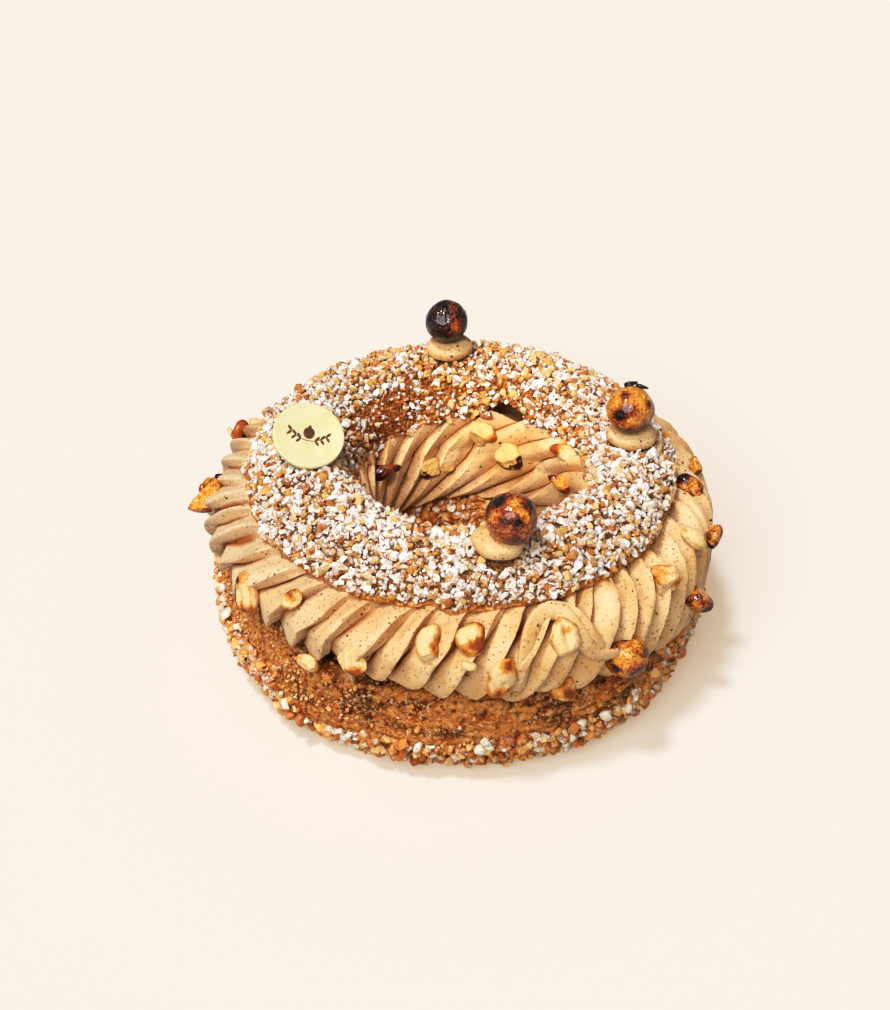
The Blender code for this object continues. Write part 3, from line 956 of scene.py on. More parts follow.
HOLE_STRAND = StrandPlan(
    name="hole",
    outer=False,
    rows=146,
    blades=19,
    seed=41,
    knots=BladeKnots(
        face=(0.0, 0.0, 0.16, 0.32, 0.48, 0.64, 0.82) + (1.0,) * 15,
        band=(0.0,) * 8 + (0.12, 0.26, 0.42, 0.58, 0.72, 0.86, 0.95) + (1.0,) * 7,
        drop=(0.0,) * 16 + (0.25, 0.55, 0.82, 1.0, 1.06, 1.05),
        level=(
            0.0, 0.12, 0.25, 0.38, 0.51, 0.63, 0.74, 0.84, 0.87, 0.90, 0.925,
            0.945, 0.962, 0.977, 0.99, 1.0, 0.95, 0.78, 0.54, 0.30, 0.12, 0.02,
        ),
        foot=0.03,
    ),
    depth=4.2,
    ends=(90.0, 270.0),
    shown=(105.0, 262.0),
    uneven=0.204,
    strength=(0.8, 1.15),
    fade_at=(90.0, 108.0, 124.0, 236.0, 256.0, 270.0),
    fade=(0.1, 0.6, 1.0, 1.0, 0.5, 0.1),
    drop_after=15,
)


def waver(degrees: Array, number: Array, seed: int) -> Array:
    """Slow change along each blade on its own, from -1 to 1."""
    spot = np.broadcast_arrays(degrees / 34.0, number * 7.3 + 0.5, seed + 0.5)
    return lattice_noise(np.stack(spot, axis=-1), 1.0, seed)


@dataclass
class Blades:
    """What chance gives each blade: its edges around the ring and its own form."""

    edges: Array
    strength: Array
    swell: Array
    tilt: Array
    tip: Array
    hang: Array
    hook: Array
    flat: Array
    lean: Array

    @classmethod
    def drawn(cls, plan: StrandPlan) -> "Blades":
        """Draw them; outer blades are wide at the left and narrow at the front."""
        dice = np.random.default_rng(plan.seed)
        count = plan.blades
        width = 1.0 + dice.uniform(-plan.uneven, plan.uneven, count)
        if plan.outer:
            turned = 360.0 * (np.arange(count) + 0.5) / count
            left = 0.30 * turn_bell(turned, 186.0, 38.0) - 0.12 * turn_bell(turned, -136.0, 20.0)
            width = width * (1.0 + left) * (1.0 - 0.20 * turn_bell(turned, -32.0, 34.0))
        edges = np.append(0.0, np.cumsum(width)) * count / width.sum()
        strength = dice.uniform(*plan.strength, count)
        swell = dice.uniform(-0.45, 0.45, count)
        slow = waver(np.zeros(1), np.arange(count) * 0.05, plan.seed + 8)
        tilt = dice.uniform(-1.6, 1.6, count) + 2.4 * slow
        tip = dice.uniform(-0.8, 1.0, count)
        hang = dice.uniform(-1.9, 1.9, count)
        hook = dice.uniform(-0.3, 0.45, count)
        flat = dice.uniform(0.0, 1.0, count) ** 2
        lean = dice.uniform(-1.0, 1.0, count)
        return cls(edges, strength, swell, tilt, tip, hang, hook, flat, lean)


@dataclass
class PipedCream:
    """Praline cream piped as slanting blades, on the outer side and in the hole."""

    crown: Crown
    mid_radius: float = 53.2
    mid_height: float = 41.2
    half_width: float = 22.5
    half_height: float = 14.5
    squareness: float = 2.6
    low_square: float = 1.6
    foot_tuck: float = 4.5
    foot_dip: float = 9.5
    top: float = 55.2
    twist_at: tuple[float, ...] = (-90.0, -60.0, 60.0, 120.0, 180.0, 240.0, 270.0)
    twist: tuple[float, ...] = (0.0, 7.0, 21.0, 31.0, 66.0, 110.0, 120.0)
    floor_radius: tuple[float, ...] = (36.0, 70.5, 73.6, 74.6, 75.4)
    floor_height: tuple[float, ...] = (20.5, 27.0, 22.5, 18.0, 10.0)
    # Azimuth in degrees of the left side that is made paler as painted light.
    painted_light_azimuth: float = 194.0

    def section(self, theta: Array) -> tuple[Array, Array]:
        """Radius and height of the plain section: a superellipse, dipped at the hole's foot."""
        under = ease(-np.sin(theta), 0.0, 0.8) * ease(np.cos(theta), 0.0, 0.5)
        bend = 2.0 / (self.squareness + self.low_square * under)
        reach = signed_power(np.cos(theta), bend)
        rise = signed_power(np.sin(theta), bend)
        low = np.clip(-rise, 0.0, 1.0) * np.clip(-reach + 0.3, 0.0, 1.0)
        radius = self.mid_radius + self.half_width * reach - self.foot_tuck * low
        height = self.mid_height + self.half_height * rise - self.foot_dip * low
        return radius, height

    def build(self, material: bpy.types.Material) -> None:
        """Both sides of the cream."""
        for plan in (OUTER_STRAND, HOLE_STRAND):
            strand = Strand(self, plan)
            grid = strand.closed()
            piece = dress(ring_piece("cream_blades_" + plan.name, grid, 34.0), material)
            # Painted shade in grooves, on steep drops and under the arch, stored for the cream's
            # material.
            set_values(piece, "painted_shade", strand.shade())
            # Painted light: the outer cream is paler around the left side.
            x, y = grid[..., 0] - self.crown.x, grid[..., 1] - self.crown.y
            pale = 0.8 * turn_bell(np.degrees(np.arctan2(y, x)), self.painted_light_azimuth, 42.0)
            set_values(piece, "pale", pale if plan.outer else 0.0 * pale)
            settle(piece, Slot.CREAM, "praline_cream")


class Strand:
    """One side of the cream, on a grid whose columns each keep their place on a blade.

    That keeps crests sharp. A point is the plain section's point, pushed along the section's
    direction by the blade's height times its depth, at the azimuth of its column plus the
    twist of its section angle.
    """

    def __init__(self, cream: PipedCream, plan: StrandPlan) -> None:
        """Work out the strand, step by step."""
        self.cream, self.crown, self.plan = cream, cream.crown, plan
        self.blades = Blades.drawn(plan)
        steps = len(plan.knots.level)
        self.number, self.step = np.divmod(np.arange(plan.blades * steps), steps)
        self.level = np.array(plan.knots.level)[self.step]
        self.degrees = self.section_angles()
        self.fade = np.interp(self.degrees, plan.fade_at, plan.fade)
        self.azimuth = self.turned()
        section = cream.section(np.radians(self.degrees))
        self.radius, self.height, _ = np.broadcast_arrays(*section, self.azimuth)
        coarse = self.placed()
        self.azimuth = self.azimuth + np.radians(1.1) * lattice_noise(coarse, 15.0, plan.seed + 1)
        self.depth = self.blade_depth()
        push = self.push(coarse)
        self.radius = self.radius + push * np.cos(np.radians(self.degrees))
        self.height = self.height + push * np.sin(np.radians(self.degrees))
        if plan.outer:
            self.hang()
        around = turn_bell(np.degrees(self.azimuth), OPENING, 11.0)
        self.opening = around * (1.0 - ease(self.radius, 46.0, 54.0))
        roof = cream.top - (2.0 + 8.0 * ease(self.radius, 35.6, 38.6)) * self.opening
        ground = np.interp(self.radius, cream.floor_radius, cream.floor_height) + 0.3
        self.height = np.maximum(np.minimum(self.height, roof), ground)

    def section_angles(self) -> Array:
        """Section angles of the rows, spaced evenly along the section where it is seen."""
        dense = np.linspace(*self.plan.ends, 1441)
        path = np.stack(self.cream.section(np.radians(dense)), axis=-1)
        shown = (dense > self.plan.shown[0]) & (dense < self.plan.shown[1])
        share = even_share(path, self.plan.rows, np.where(shown, 1.0, 0.35))
        return pick(dense, share)[:, None]

    def turned(self) -> Array:
        """Azimuth in radians: place across the blade, twist, tilt and a hooked foot."""
        plan, blades, number, degrees = self.plan, self.blades, self.number, self.degrees
        slow = waver(degrees, number, plan.seed + 5)
        fast = waver(degrees, number, plan.seed + 6)
        if plan.outer:
            crest = np.clip(0.84 + 0.07 * blades.lean[number] + 0.15 * slow, 0.58, 0.95)
            band = 0.035 + 0.30 * blades.flat[number] * (0.75 + 0.5 * fast)
        else:
            crest = 0.88 + 0.04 * blades.lean[number] + 0.03 * slow
            band = 0.30 + 0.16 * blades.lean[::-1][number] + 0.16 * fast
        across = plan.knots.across(self.step, crest, band)
        width = blades.edges[number + 1] - blades.edges[number]
        azimuth = TAU * (blades.edges[number] + width * across) / plan.blades
        tilt = blades.tilt[number] * (degrees - 0.5 * sum(plan.ends)) / 90.0
        twist = np.interp(degrees, self.cream.twist_at, self.cream.twist)
        azimuth = azimuth + np.radians(twist + tilt)
        if plan.outer:
            hook = blades.hook[number] * self.level * bell(degrees, -62.0, 26.0)
            azimuth = azimuth + TAU / plan.blades * hook
        return azimuth

    def placed(self) -> Array:
        """Places in mm of the grid as it is."""
        return self.crown.place(self.radius, self.azimuth, self.height, self.crown.cream_drift)

    def blade_depth(self) -> Array:
        """Depth of the grooves in mm: deeper at the front right, softer at the hole's left."""
        degrees = np.degrees(self.azimuth)
        strength = self.blades.strength[self.number]
        if not self.plan.outer:
            soft = 0.4 * turn_bell(degrees, 192.0, 34.0)
            return self.plan.depth * self.fade * strength * (1.0 - soft)
        gap = 0.5 + 0.5 * waver(self.degrees, self.number, self.plan.seed + 7)
        share = np.clip(0.45 * strength + 0.8 * gap, 0.62, 1.3)
        return self.plan.depth * self.fade * (share + 0.55 * turn_bell(degrees, FRONT_RIGHT, 34.0))

    def push(self, coarse: Array) -> Array:
        """How far each point is pushed out of the plain section, in mm."""
        seed, number, level, fade = self.plan.seed, self.number, self.level, self.fade
        push = self.blades.swell[number] * fade
        if self.plan.outer:
            push = push + self.depth * (level - 1.0) + 1.9 * fade
            push = push + self.blades.tip[number] * level * bell(self.degrees, -50.0, 16.0)
        else:
            push = push + self.depth * (level - 0.66)
        ragged = np.clip(level - 0.95, 0.0, 0.05) * 20.0
        rough = 0.30 * lattice_noise(coarse, 11.0, seed + 2)
        rough = rough + 0.09 * layered_noise(coarse, 2.4, 2, seed + 3)
        rough = rough + 0.20 * ragged * lattice_noise(coarse, 1.3, seed + 4)
        return push + rough * fade

    def hang(self) -> None:
        """Let the tips of outer blades hang unevenly, along a lower edge that slopes."""
        hang = self.blades.hang[self.number] * ease(self.level, 0.3, 0.7)
        slope = self.crown.cream_slope(self.azimuth)
        self.height = self.height - hang * bell(self.degrees, -46.0, 17.0)
        self.height = self.height + slope * ease(-self.degrees, -40.0, 50.0)
        pull = np.where(slope > 0.0, 0.12, 0.3) * slope * ease(-self.degrees, -10.0, 50.0)
        self.radius = self.radius - pull

    def closed(self) -> Array:
        """Grid of places in mm, closed behind by three rows of plain hidden wall."""
        wall = []
        for share in (0.25, 0.5, 0.75):
            turn = self.azimuth[-1] * (1.0 - share) + self.azimuth[0] * share
            rise = self.height[-1] * (1.0 - share) + self.height[0] * share
            radius = np.full_like(turn, self.cream.mid_radius)
            wall.append(self.crown.place(radius, turn, rise, self.crown.cream_drift))
        return np.concatenate((self.placed(), np.stack(wall)))

    def shade(self) -> Array:
        """Painted shade from 0 to 1: darkening in grooves, on steep drops and under the lid's
        opening, where shade falls.
        """
        sunk = np.clip(self.depth / OUTER_STRAND.depth, 0.0, 1.0)
        painted_shade = self.fade * np.clip(1.0 - 4.0 * self.level, 0.0, 1.0) * sunk
        # Painted shade on steep drops, which face away from the key light.
        steep = np.where(self.step > self.plan.drop_after, 0.36, 0.0) * self.fade
        if self.plan.outer:
            degrees = np.degrees(self.azimuth)
            # More painted shade at the front right, less on the left side.
            side = 1.3 * turn_bell(degrees, FRONT_RIGHT, 36.0)
            steep = steep * (1.0 + side - 0.7 * turn_bell(degrees, 200.0, 46.0))
        shade = np.maximum(painted_shade, steep * np.clip(1.15 - 0.6 * self.level, 0.0, 1.0))
        # Painted shade on the cream under the lid's arch.
        under_lid = ease(self.height, 41.0, 43.5) * ease(self.radius, 35.8, 37.6)
        shade = np.maximum(shade, 0.7 * self.opening * under_lid)
        return np.concatenate((shade, np.repeat(shade[-1:], 3, axis=0)))


# ---------------------------------------------------------------- the choux


@dataclass
class ChouxRing:
    """One half of the choux crown: a closed outline turned about the axis, made uneven."""

    crown: Crown
    rows: int = 132
    columns: int = 690

    def lumps(self, azimuth: Array, height: Array) -> Array:
        """Slow waves around the ring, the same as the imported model's, from -1 to 1."""
        rise = height * MM
        wave = np.sin(5 * azimuth + 0.8) + 0.7 * np.sin(9 * azimuth + 2.1 + 90.0 * rise)
        return (wave + 0.6 * np.sin(14 * azimuth + 4.0 - 160.0 * rise)) / 2.3

    def evened(self, closed: Array, hidden: Array, thinning: float) -> Array:
        """Evenly spaced points on a closed outline, fewer of them where it is hidden."""
        weight = np.where(hidden, thinning, 1.0)
        return pick(closed, even_share(closed, self.rows + 1, weight)[:-1])

    def turned(self, outline: Array, axis: int) -> tuple[Array, Array, Array, Array]:
        """The outline turned about the axis.

        Args:
            outline: radius and height of each point in mm.
            axis: 0 for radius or 1 for height, which is greatest where the outline's
                normal surely points out of the crust.

        Returns:
            Radius, azimuth in radians and height of the grid, and the outline's normals.
        """
        normal = outline_normals(outline)
        if normal[np.argmax(outline[:, axis]), axis] < 0.0:
            normal = -normal
        azimuth = around_circle(self.columns)
        radius, azimuth, height = np.broadcast_arrays(outline[:, :1], azimuth, outline[:, 1:])
        return radius, azimuth, height, normal


@dataclass
class ChouxBase(ChouxRing):
    """Lower half: rounded wall, flat foot, and a cut face that slopes to the hole."""

    corners: tuple[tuple[float, float], ...] = (
        (70.5, 27.0), (73.8, 22.5), (74.8, 16.0), (74.0, 10.0), (71.0, 4.0), (66.0, 0.0),
        (37.0, 0.0), (34.0, 5.0), (33.0, 13.0), (36.0, 20.5),
    )
    slit_azimuth: float = -105.0
    slit_height: float = 25.0

    def outline(self) -> Array:
        """Outline with rounded corners: cut three times near them, then evenly spaced."""
        ring = np.array(self.corners)
        for _ in range(3):
            beyond = np.roll(ring, -1, axis=0)
            cut = (0.78 * ring + 0.22 * beyond, 0.22 * ring + 0.78 * beyond)
            ring = np.stack(cut, axis=1).reshape(-1, 2)
        closed = np.concatenate((ring, ring[:1]))
        radius, height = closed.T
        hidden = (height < 0.8) | ((height > 20.0) & (radius < 69.0) & (radius > 38.0))
        return self.evened(closed, hidden, 0.3)

    def folded(self, degrees: Array, height: Array) -> Array:
        """Mask of the right of the front, where the crust folds."""
        return ease(turn_gap(degrees, FRONT), 8.0, 30.0) * ease(height, 11.0, 15.0)

    def creases(self, band: Array) -> Array:
        """Thin long lines from 0 to 1: where noise stretched along the band crosses zero."""
        return 1.0 - np.abs(lattice_noise(band * (1.0, 1.0, 6.5), 13.0, 63))

    def relief(self, place: Array, band: Array, azimuth: Array, outside: Array) -> Array:
        """How far the crust stands out in mm: waves and lumps, less creases, folds and a slit.

        Args:
            place: places of the plain wall in mm.
            band: the plain wall as a flat band.
            azimuth: azimuths in radians.
            outside: mask of the outer wall.
        """
        degrees, height = np.degrees(azimuth), band[..., 2]
        push = 0.8 * self.lumps(azimuth, height) + 0.55 * lattice_noise(place, 9.0, 61)
        push = push + 0.5 * layered_noise(place, 2.6, 3, 62)
        push = push + 0.2 * np.abs(lattice_noise(place, 1.5, 66)) - 0.5 * (1.0 - outside)
        folded = self.folded(degrees, height)
        fold = 1.0 - np.abs(lattice_noise(band * (0.8, 1.0, 8.45), 8.0, 67))
        push = push - (0.9 + 1.3 * folded) * ease(self.creases(band), 0.72, 1.0) * outside
        push = (push - 1.7 * folded * ease(fold, 0.6, 1.0) * outside) * ease(height, 0.2, 3.0)
        slit = turn_bell(degrees, self.slit_azimuth, 1.1) * bell(height, self.slit_height, 0.9)
        return push - slit * outside

    def grid(self) -> tuple[Array, Array, Array]:
        """Grid of the crust, its azimuths in degrees, and its plain wall as a flat band."""
        radius, azimuth, height, normal = self.turned(self.outline(), 0)
        place = self.crown.place(radius, azimuth, height, self.crown.base_drift)
        band = np.stack((radius * azimuth, radius, height), axis=-1)
        outside = ease(radius, 60.0, 70.0)
        push = self.relief(place, band, azimuth, outside)
        rise = 0.72 * np.maximum(self.crown.cream_slope(azimuth), 0.0) * outside
        rise = rise * ease(height, 8.0, 25.0)
        radius = radius + push * normal[:, :1]
        lifted = np.maximum(height + push * normal[:, 1:] * ease(height, 0.2, 3.0), 0.0) + rise
        height = np.where(height < 0.05, 0.0, lifted)
        place = self.crown.place(radius, azimuth, height, self.crown.base_drift)
        return place, np.degrees(azimuth), band

    def build(self) -> tuple[Array, Array]:
        """Build the crust piece; gives its grid and its azimuths in degrees."""
        grid, degrees, band = self.grid()
        piece = ring_piece("choux_base_crust", grid)
        height = grid[..., 2]
        gap = turn_gap(degrees, FRONT)
        bare = ease(height, 14.0, 18.0) * (1.0 - ease(np.abs(gap), 40.0, 56.0))
        low = 1.0 - ease(np.abs(height - 15.0), 2.0, 6.0)
        patches = 0.75 * lattice_noise(band * (1.0, 1.0, 1.7), 8.5, 65)
        patches = patches + 0.5 * layered_noise(grid, 3.0, 3, 68)
        # Stored as burnt: real browning in patches, a darker band at mid height and towards the
        # right of the front; a strip under the cream's tips, darkened partly as browning and partly
        # as painted shadow; and the creases, darkened as painted shade, most in the folds.
        burnt = 0.16 * low + 0.4 * ease(height, 22.0, 25.5) + 0.12 * ease(gap, 10.0, 34.0)
        folds = 0.25 + 0.6 * self.folded(degrees, height)
        burnt = burnt + 2.6 * (patches - 0.02) + ease(self.creases(band), 0.74, 0.98) * folds
        set_values(piece, "sugar", 0.75 - 0.6 * bare)
        set_values(piece, "burnt", np.clip(burnt, 0.0, 0.95) * bare)
        tones = paint(244, 164, 86), paint(206, 98, 38), paint(90, 18, 0)
        dress(piece, CrustFinish("base_crust", *tones, cover=0.34, sugar=0.1, gloss=0.3).build())
        settle(piece, Slot.CRUST, "choux_base")
        return grid, degrees


@dataclass
class ChouxLid(ChouxRing):
    """Upper half: a dome over a flat underside, with a thin ragged rim.

    Around the hole its edge widens the hole, hangs and slumps by amounts in mm that change
    with the azimuth in degrees. Its inner wall arches over the opening and is bare beside it.
    """

    rows: int = 146
    columns: int = 670
    underside: float = 55.5
    inner_radius: float = 33.8
    outer_radius: float = 64.9
    crest_radius: float = 50.0
    rise: float = 12.4
    rim: float = 1.6
    edge_at: tuple[float, ...] = (0.0, 45.0, 90.0, 135.0, 180.0, 225.0, 270.0, 315.0, 360.0)
    edge_widen: tuple[float, ...] = (3.0, 0.8, -0.4, -0.4, 1.2, 2.0, 3.0, 3.5, 3.0)
    edge_hang: tuple[float, ...] = (1.0, 2.6, 3.2, 6.6, 8.0, 3.0, 0.0, 0.0, 1.0)
    edge_slump: tuple[float, ...] = (1.3, 0.7, 0.5, 0.7, 1.2, 1.7, 2.0, 1.8, 1.3)
    inner_power: float = 2.2
    outer_power: float = 1.6
    arch_width: float = 11.5
    arch_height: float = 5.6
    flap_azimuth: float = -91.0
    notch_azimuth: float = -97.5
    bare_azimuth: float = 132.0
    bare_radius: float = 40.6

    def outline(self) -> Array:
        """Dome from the outer rim over the crest into the hole, back under it, evenly spaced."""
        turn = np.linspace(0.0, math.pi, 1200)
        inner = turn > 0.5 * math.pi
        bend = 2.0 / np.where(inner, self.inner_power, self.outer_power)
        edge = np.where(inner, self.inner_radius, self.outer_radius)
        reach = np.abs(np.cos(turn)) ** bend
        radius = self.crest_radius + (edge - self.crest_radius) * reach
        height = self.underside + self.rim + (self.rise - self.rim) * np.sin(turn) ** bend
        under = np.array((
            (self.inner_radius + 0.6, self.underside + 0.3),
            (self.inner_radius + 1.6, self.underside),
            (self.crest_radius, self.underside),
            (self.outer_radius - 1.8, self.underside),
            (self.outer_radius - 0.5, self.underside + 0.4),
        ))
        dome = np.stack((radius, height), axis=1)
        closed = np.concatenate((dome, under, dome[:1]))
        return self.evened(closed, closed[:, 1] < self.underside + 0.02, 0.35)

    def edge(self, amounts: tuple[float, ...], degrees: Array) -> Array:
        """Amount at each azimuth for the edge around the hole."""
        return np.interp(np.mod(degrees, 360.0), self.edge_at, amounts)

    def uneven_rim(self, azimuth: Array) -> tuple[Array, Array, Array]:
        """How far the rim reaches out, droops, and is torn away in the hole, in mm."""
        degrees = np.degrees(azimuth)
        rim = 60.0 * np.stack((np.cos(azimuth), np.sin(azimuth), 0.0 * azimuth), axis=-1)
        ragged = 0.75 * lattice_noise(rim, 6.0, 73) + 0.5 * lattice_noise(rim, 2.6, 74)
        ragged = ragged + 0.3 * lattice_noise(rim, 1.2, 75)
        flap = 1.6 * turn_bell(degrees, self.flap_azimuth, 2.6)
        flap = flap - 1.9 * turn_bell(degrees, self.notch_azimuth, 2.4)
        droop = 0.5 + 0.5 * lattice_noise(rim, 4.0, 76) + 0.7 * turn_bell(degrees, -90.0, 40.0)
        torn = 0.3 * lattice_noise(rim, 4.0, 77) + 0.25 * lattice_noise(rim, 1.7, 78)
        return ragged + flap, droop, torn

    def arch(self, degrees: Array, radius: Array, height: Array) -> Array:
        """Lift in mm of the inner wall over the opening."""
        span = turn_gap(degrees, OPENING) / self.arch_width
        lift = self.arch_height * np.sqrt(np.clip(1.0 - span**2, 0.0, 1.0))
        return lift * (1.0 - ease(radius, 37.0, 42.0)) * (1.0 - ease(height, 57.5, 61.0))

    def bareness(self, degrees: Array, radius: Array) -> Array:
        """Mask of the inner wall that sugar and nuts leave bare."""
        near_arch = 0.9 * turn_bell(degrees, OPENING, 18.0)
        where = np.maximum(turn_bell(degrees, self.bare_azimuth, 58.0), near_arch)
        return ease(self.bare_radius - radius, 0.0, 2.6) * (0.1 + 0.9 * where)

    def grid(self) -> tuple[Array, Array, Array]:
        """Grid of the crust, a mask of its upper side and a mask of its bare inner wall."""
        radius, azimuth, height, normal = self.turned(self.outline(), 1)
        degrees = np.degrees(azimuth)
        place = self.crown.place(radius, azimuth, height, self.crown.lid_drift)
        plain = height - self.underside
        upper = ease(plain, 0.6, 4.0)
        rim_out = 1.0 - ease(self.outer_radius - radius, 0.0, 4.0)
        rim_in = 1.0 - ease(radius - self.inner_radius, 0.0, 3.0)
        push = 0.6 * self.lumps(azimuth, height) - 1.0 + 0.55 * lattice_noise(place, 8.0, 71)
        push = (push + 0.34 * layered_noise(place, 2.4, 3, 72)) * upper
        reach, droop, torn = self.uneven_rim(azimuth)
        radius = radius + push * normal[:, :1] + reach * rim_out - torn * rim_in
        height = height + push * normal[:, 1:] - droop * rim_out
        edge = np.where(radius > 58.0, 2.1, 0.4)
        top = ease(plain, edge, edge + 0.9)
        inwards = radius - self.inner_radius
        low = (1.0 - ease(plain, 0.5, 9.0)) * (1.0 - ease(inwards, 1.5, 6.0))
        height = height + self.arch(degrees, radius, height)
        height = height - self.edge(self.edge_hang, degrees) * low
        height = height - self.edge(self.edge_slump, degrees) * bell(inwards, 3.0, 5.0) * upper
        bare = self.bareness(degrees, radius)
        radius = radius + self.edge(self.edge_widen, degrees) * (1.0 - ease(inwards, 0.0, 9.0))
        return self.crown.place(radius, azimuth, height, self.crown.lid_drift), top, bare

    def build(self) -> tuple[Array, Array, Array]:
        """Build the crust piece; gives its grid and its masks of upper side and bare wall."""
        grid, top, bare = self.grid()
        piece = ring_piece("choux_lid_crust", grid)
        spots = np.clip(lattice_noise(grid, 5.0, 79), 0.0, 1.0)
        # Painted shade: the underside near the hole, seen under the lid's arch, is darkened.
        inner = 1.0 - ease(top, 0.0, 0.3)
        inner = 0.7 * inner * ease(52.0 - self.crown.distance(grid), 0.0, 4.0)
        burnt = np.maximum(0.6 * (1.0 - bare) * top + 0.4 * bare * spots, inner)
        set_values(piece, "sugar", top * (1.0 - 0.6 * bare))
        set_values(piece, "burnt", burnt)
        tones = paint(226, 146, 66), paint(170, 84, 30), paint(84, 28, 6)
        dress(piece, CrustFinish("lid_crust", *tones, cover=0.3, sugar=0.16, gloss=0.45).build())
        settle(piece, Slot.LID, "choux_lid")
        return grid, top, bare


# ---------------------------------------------------------------- grains


def pebble() -> tuple[Array, Array]:
    """Rounded cube of 26 points and 24 quads, the start of every grain."""
    steps = (-1.0, 0.0, 1.0)
    cube = [(x, y, z) for x in steps for y in steps for z in steps if (x, y, z) != (0.0, 0.0, 0.0)]
    number = {point: i for i, point in enumerate(cube)}
    faces = []
    for axis in range(3):
        for side in (-1.0, 1.0):
            for u in (-1.0, 0.0):
                for v in (-1.0, 0.0):
                    corners = []
                    for du, dv in ((0, 0), (1, 0), (1, 1), (0, 1)):
                        corner = [0.0, 0.0, 0.0]
                        corner[axis] = side
                        corner[(axis + 1) % 3] = u + du
                        corner[(axis + 2) % 3] = v + dv
                        corners.append(number[tuple(corner)])
                    faces.append(corners if side > 0 else corners[::-1])
    points = np.array(cube)
    length = np.linalg.norm(points, axis=1, keepdims=True)
    return points / length**0.75, np.array(faces)


def random_turns(count: int, dice: np.random.Generator) -> Array:
    """Random rotation matrices from random unit quaternions."""
    w, x, y, z = np.moveaxis(unit(dice.normal(size=(count, 4))), -1, 0)
    rows = (
        (1 - 2 * (y * y + z * z), 2 * (x * y - w * z), 2 * (x * z + w * y)),
        (2 * (x * y + w * z), 1 - 2 * (x * x + z * z), 2 * (y * z - w * x)),
        (2 * (x * z - w * y), 2 * (y * z + w * x), 1 - 2 * (x * x + y * y)),
    )
    return np.stack([np.stack(row, axis=-1) for row in rows], axis=-2)


@dataclass
class Spots:
    """Places on a surface where grains lie."""

    place: Array
    normal: Array

    def keep(self, mask: Array) -> "Spots":
        """The spots that a mask chooses."""
        return Spots(self.place[mask], self.normal[mask])

    def by_luck(self, luck: Array, share: tuple[float, float]) -> "Spots":
        """The spots whose luck falls in a range from 0 to 1."""
        return self.keep((luck >= share[0]) & (luck < share[1]))

    def __len__(self) -> int:
        """How many spots there are."""
        return len(self.place)


def spread(grid: Array, spacing: float, density: Array, dice: np.random.Generator) -> Spots:
    """Spots spread over a closed grid, at most one in each cube of a lattice.

    Candidates fall on quads in proportion to area times density. Then one candidate is kept
    in each cube whose side is the spacing, which keeps grains apart.

    Args:
        grid: places of the surface, rows by columns by 3.
        spacing: side of the lattice's cubes in mm.
        density: how much of the surface is covered, per grid point.
        dice: random source.

    Returns:
        The spots, with normals that point outwards.
    """
    volume = enclosed(grid.reshape(-1, 3), grid_quads(*grid.shape[:2], True))
    normal = grid_normals(grid) * math.copysign(1.0, volume)
    right, up = np.roll(grid, -1, axis=1) - grid, np.roll(grid, -1, axis=0) - grid
    chance = (np.linalg.norm(np.cross(right, up), axis=-1) * density).ravel()
    total = chance.sum()
    count = int(3.0 * total / spacing**2)
    chosen = np.searchsorted(np.cumsum(chance) / total, dice.random(count))
    row, column = np.divmod(np.minimum(chosen, chance.size - 1), grid.shape[1])
    a, b = dice.random((2, count, 1))
    place = grid[row, column] + a * right[row, column] + b * up[row, column]
    cube = np.floor(place / spacing).astype(np.int64)
    key = (cube[:, 0] * 4001 + cube[:, 1]) * 4001 + cube[:, 2]
    _, first = np.unique(key, return_index=True)
    first.sort()
    return Spots(place[first], normal[row, column][first])


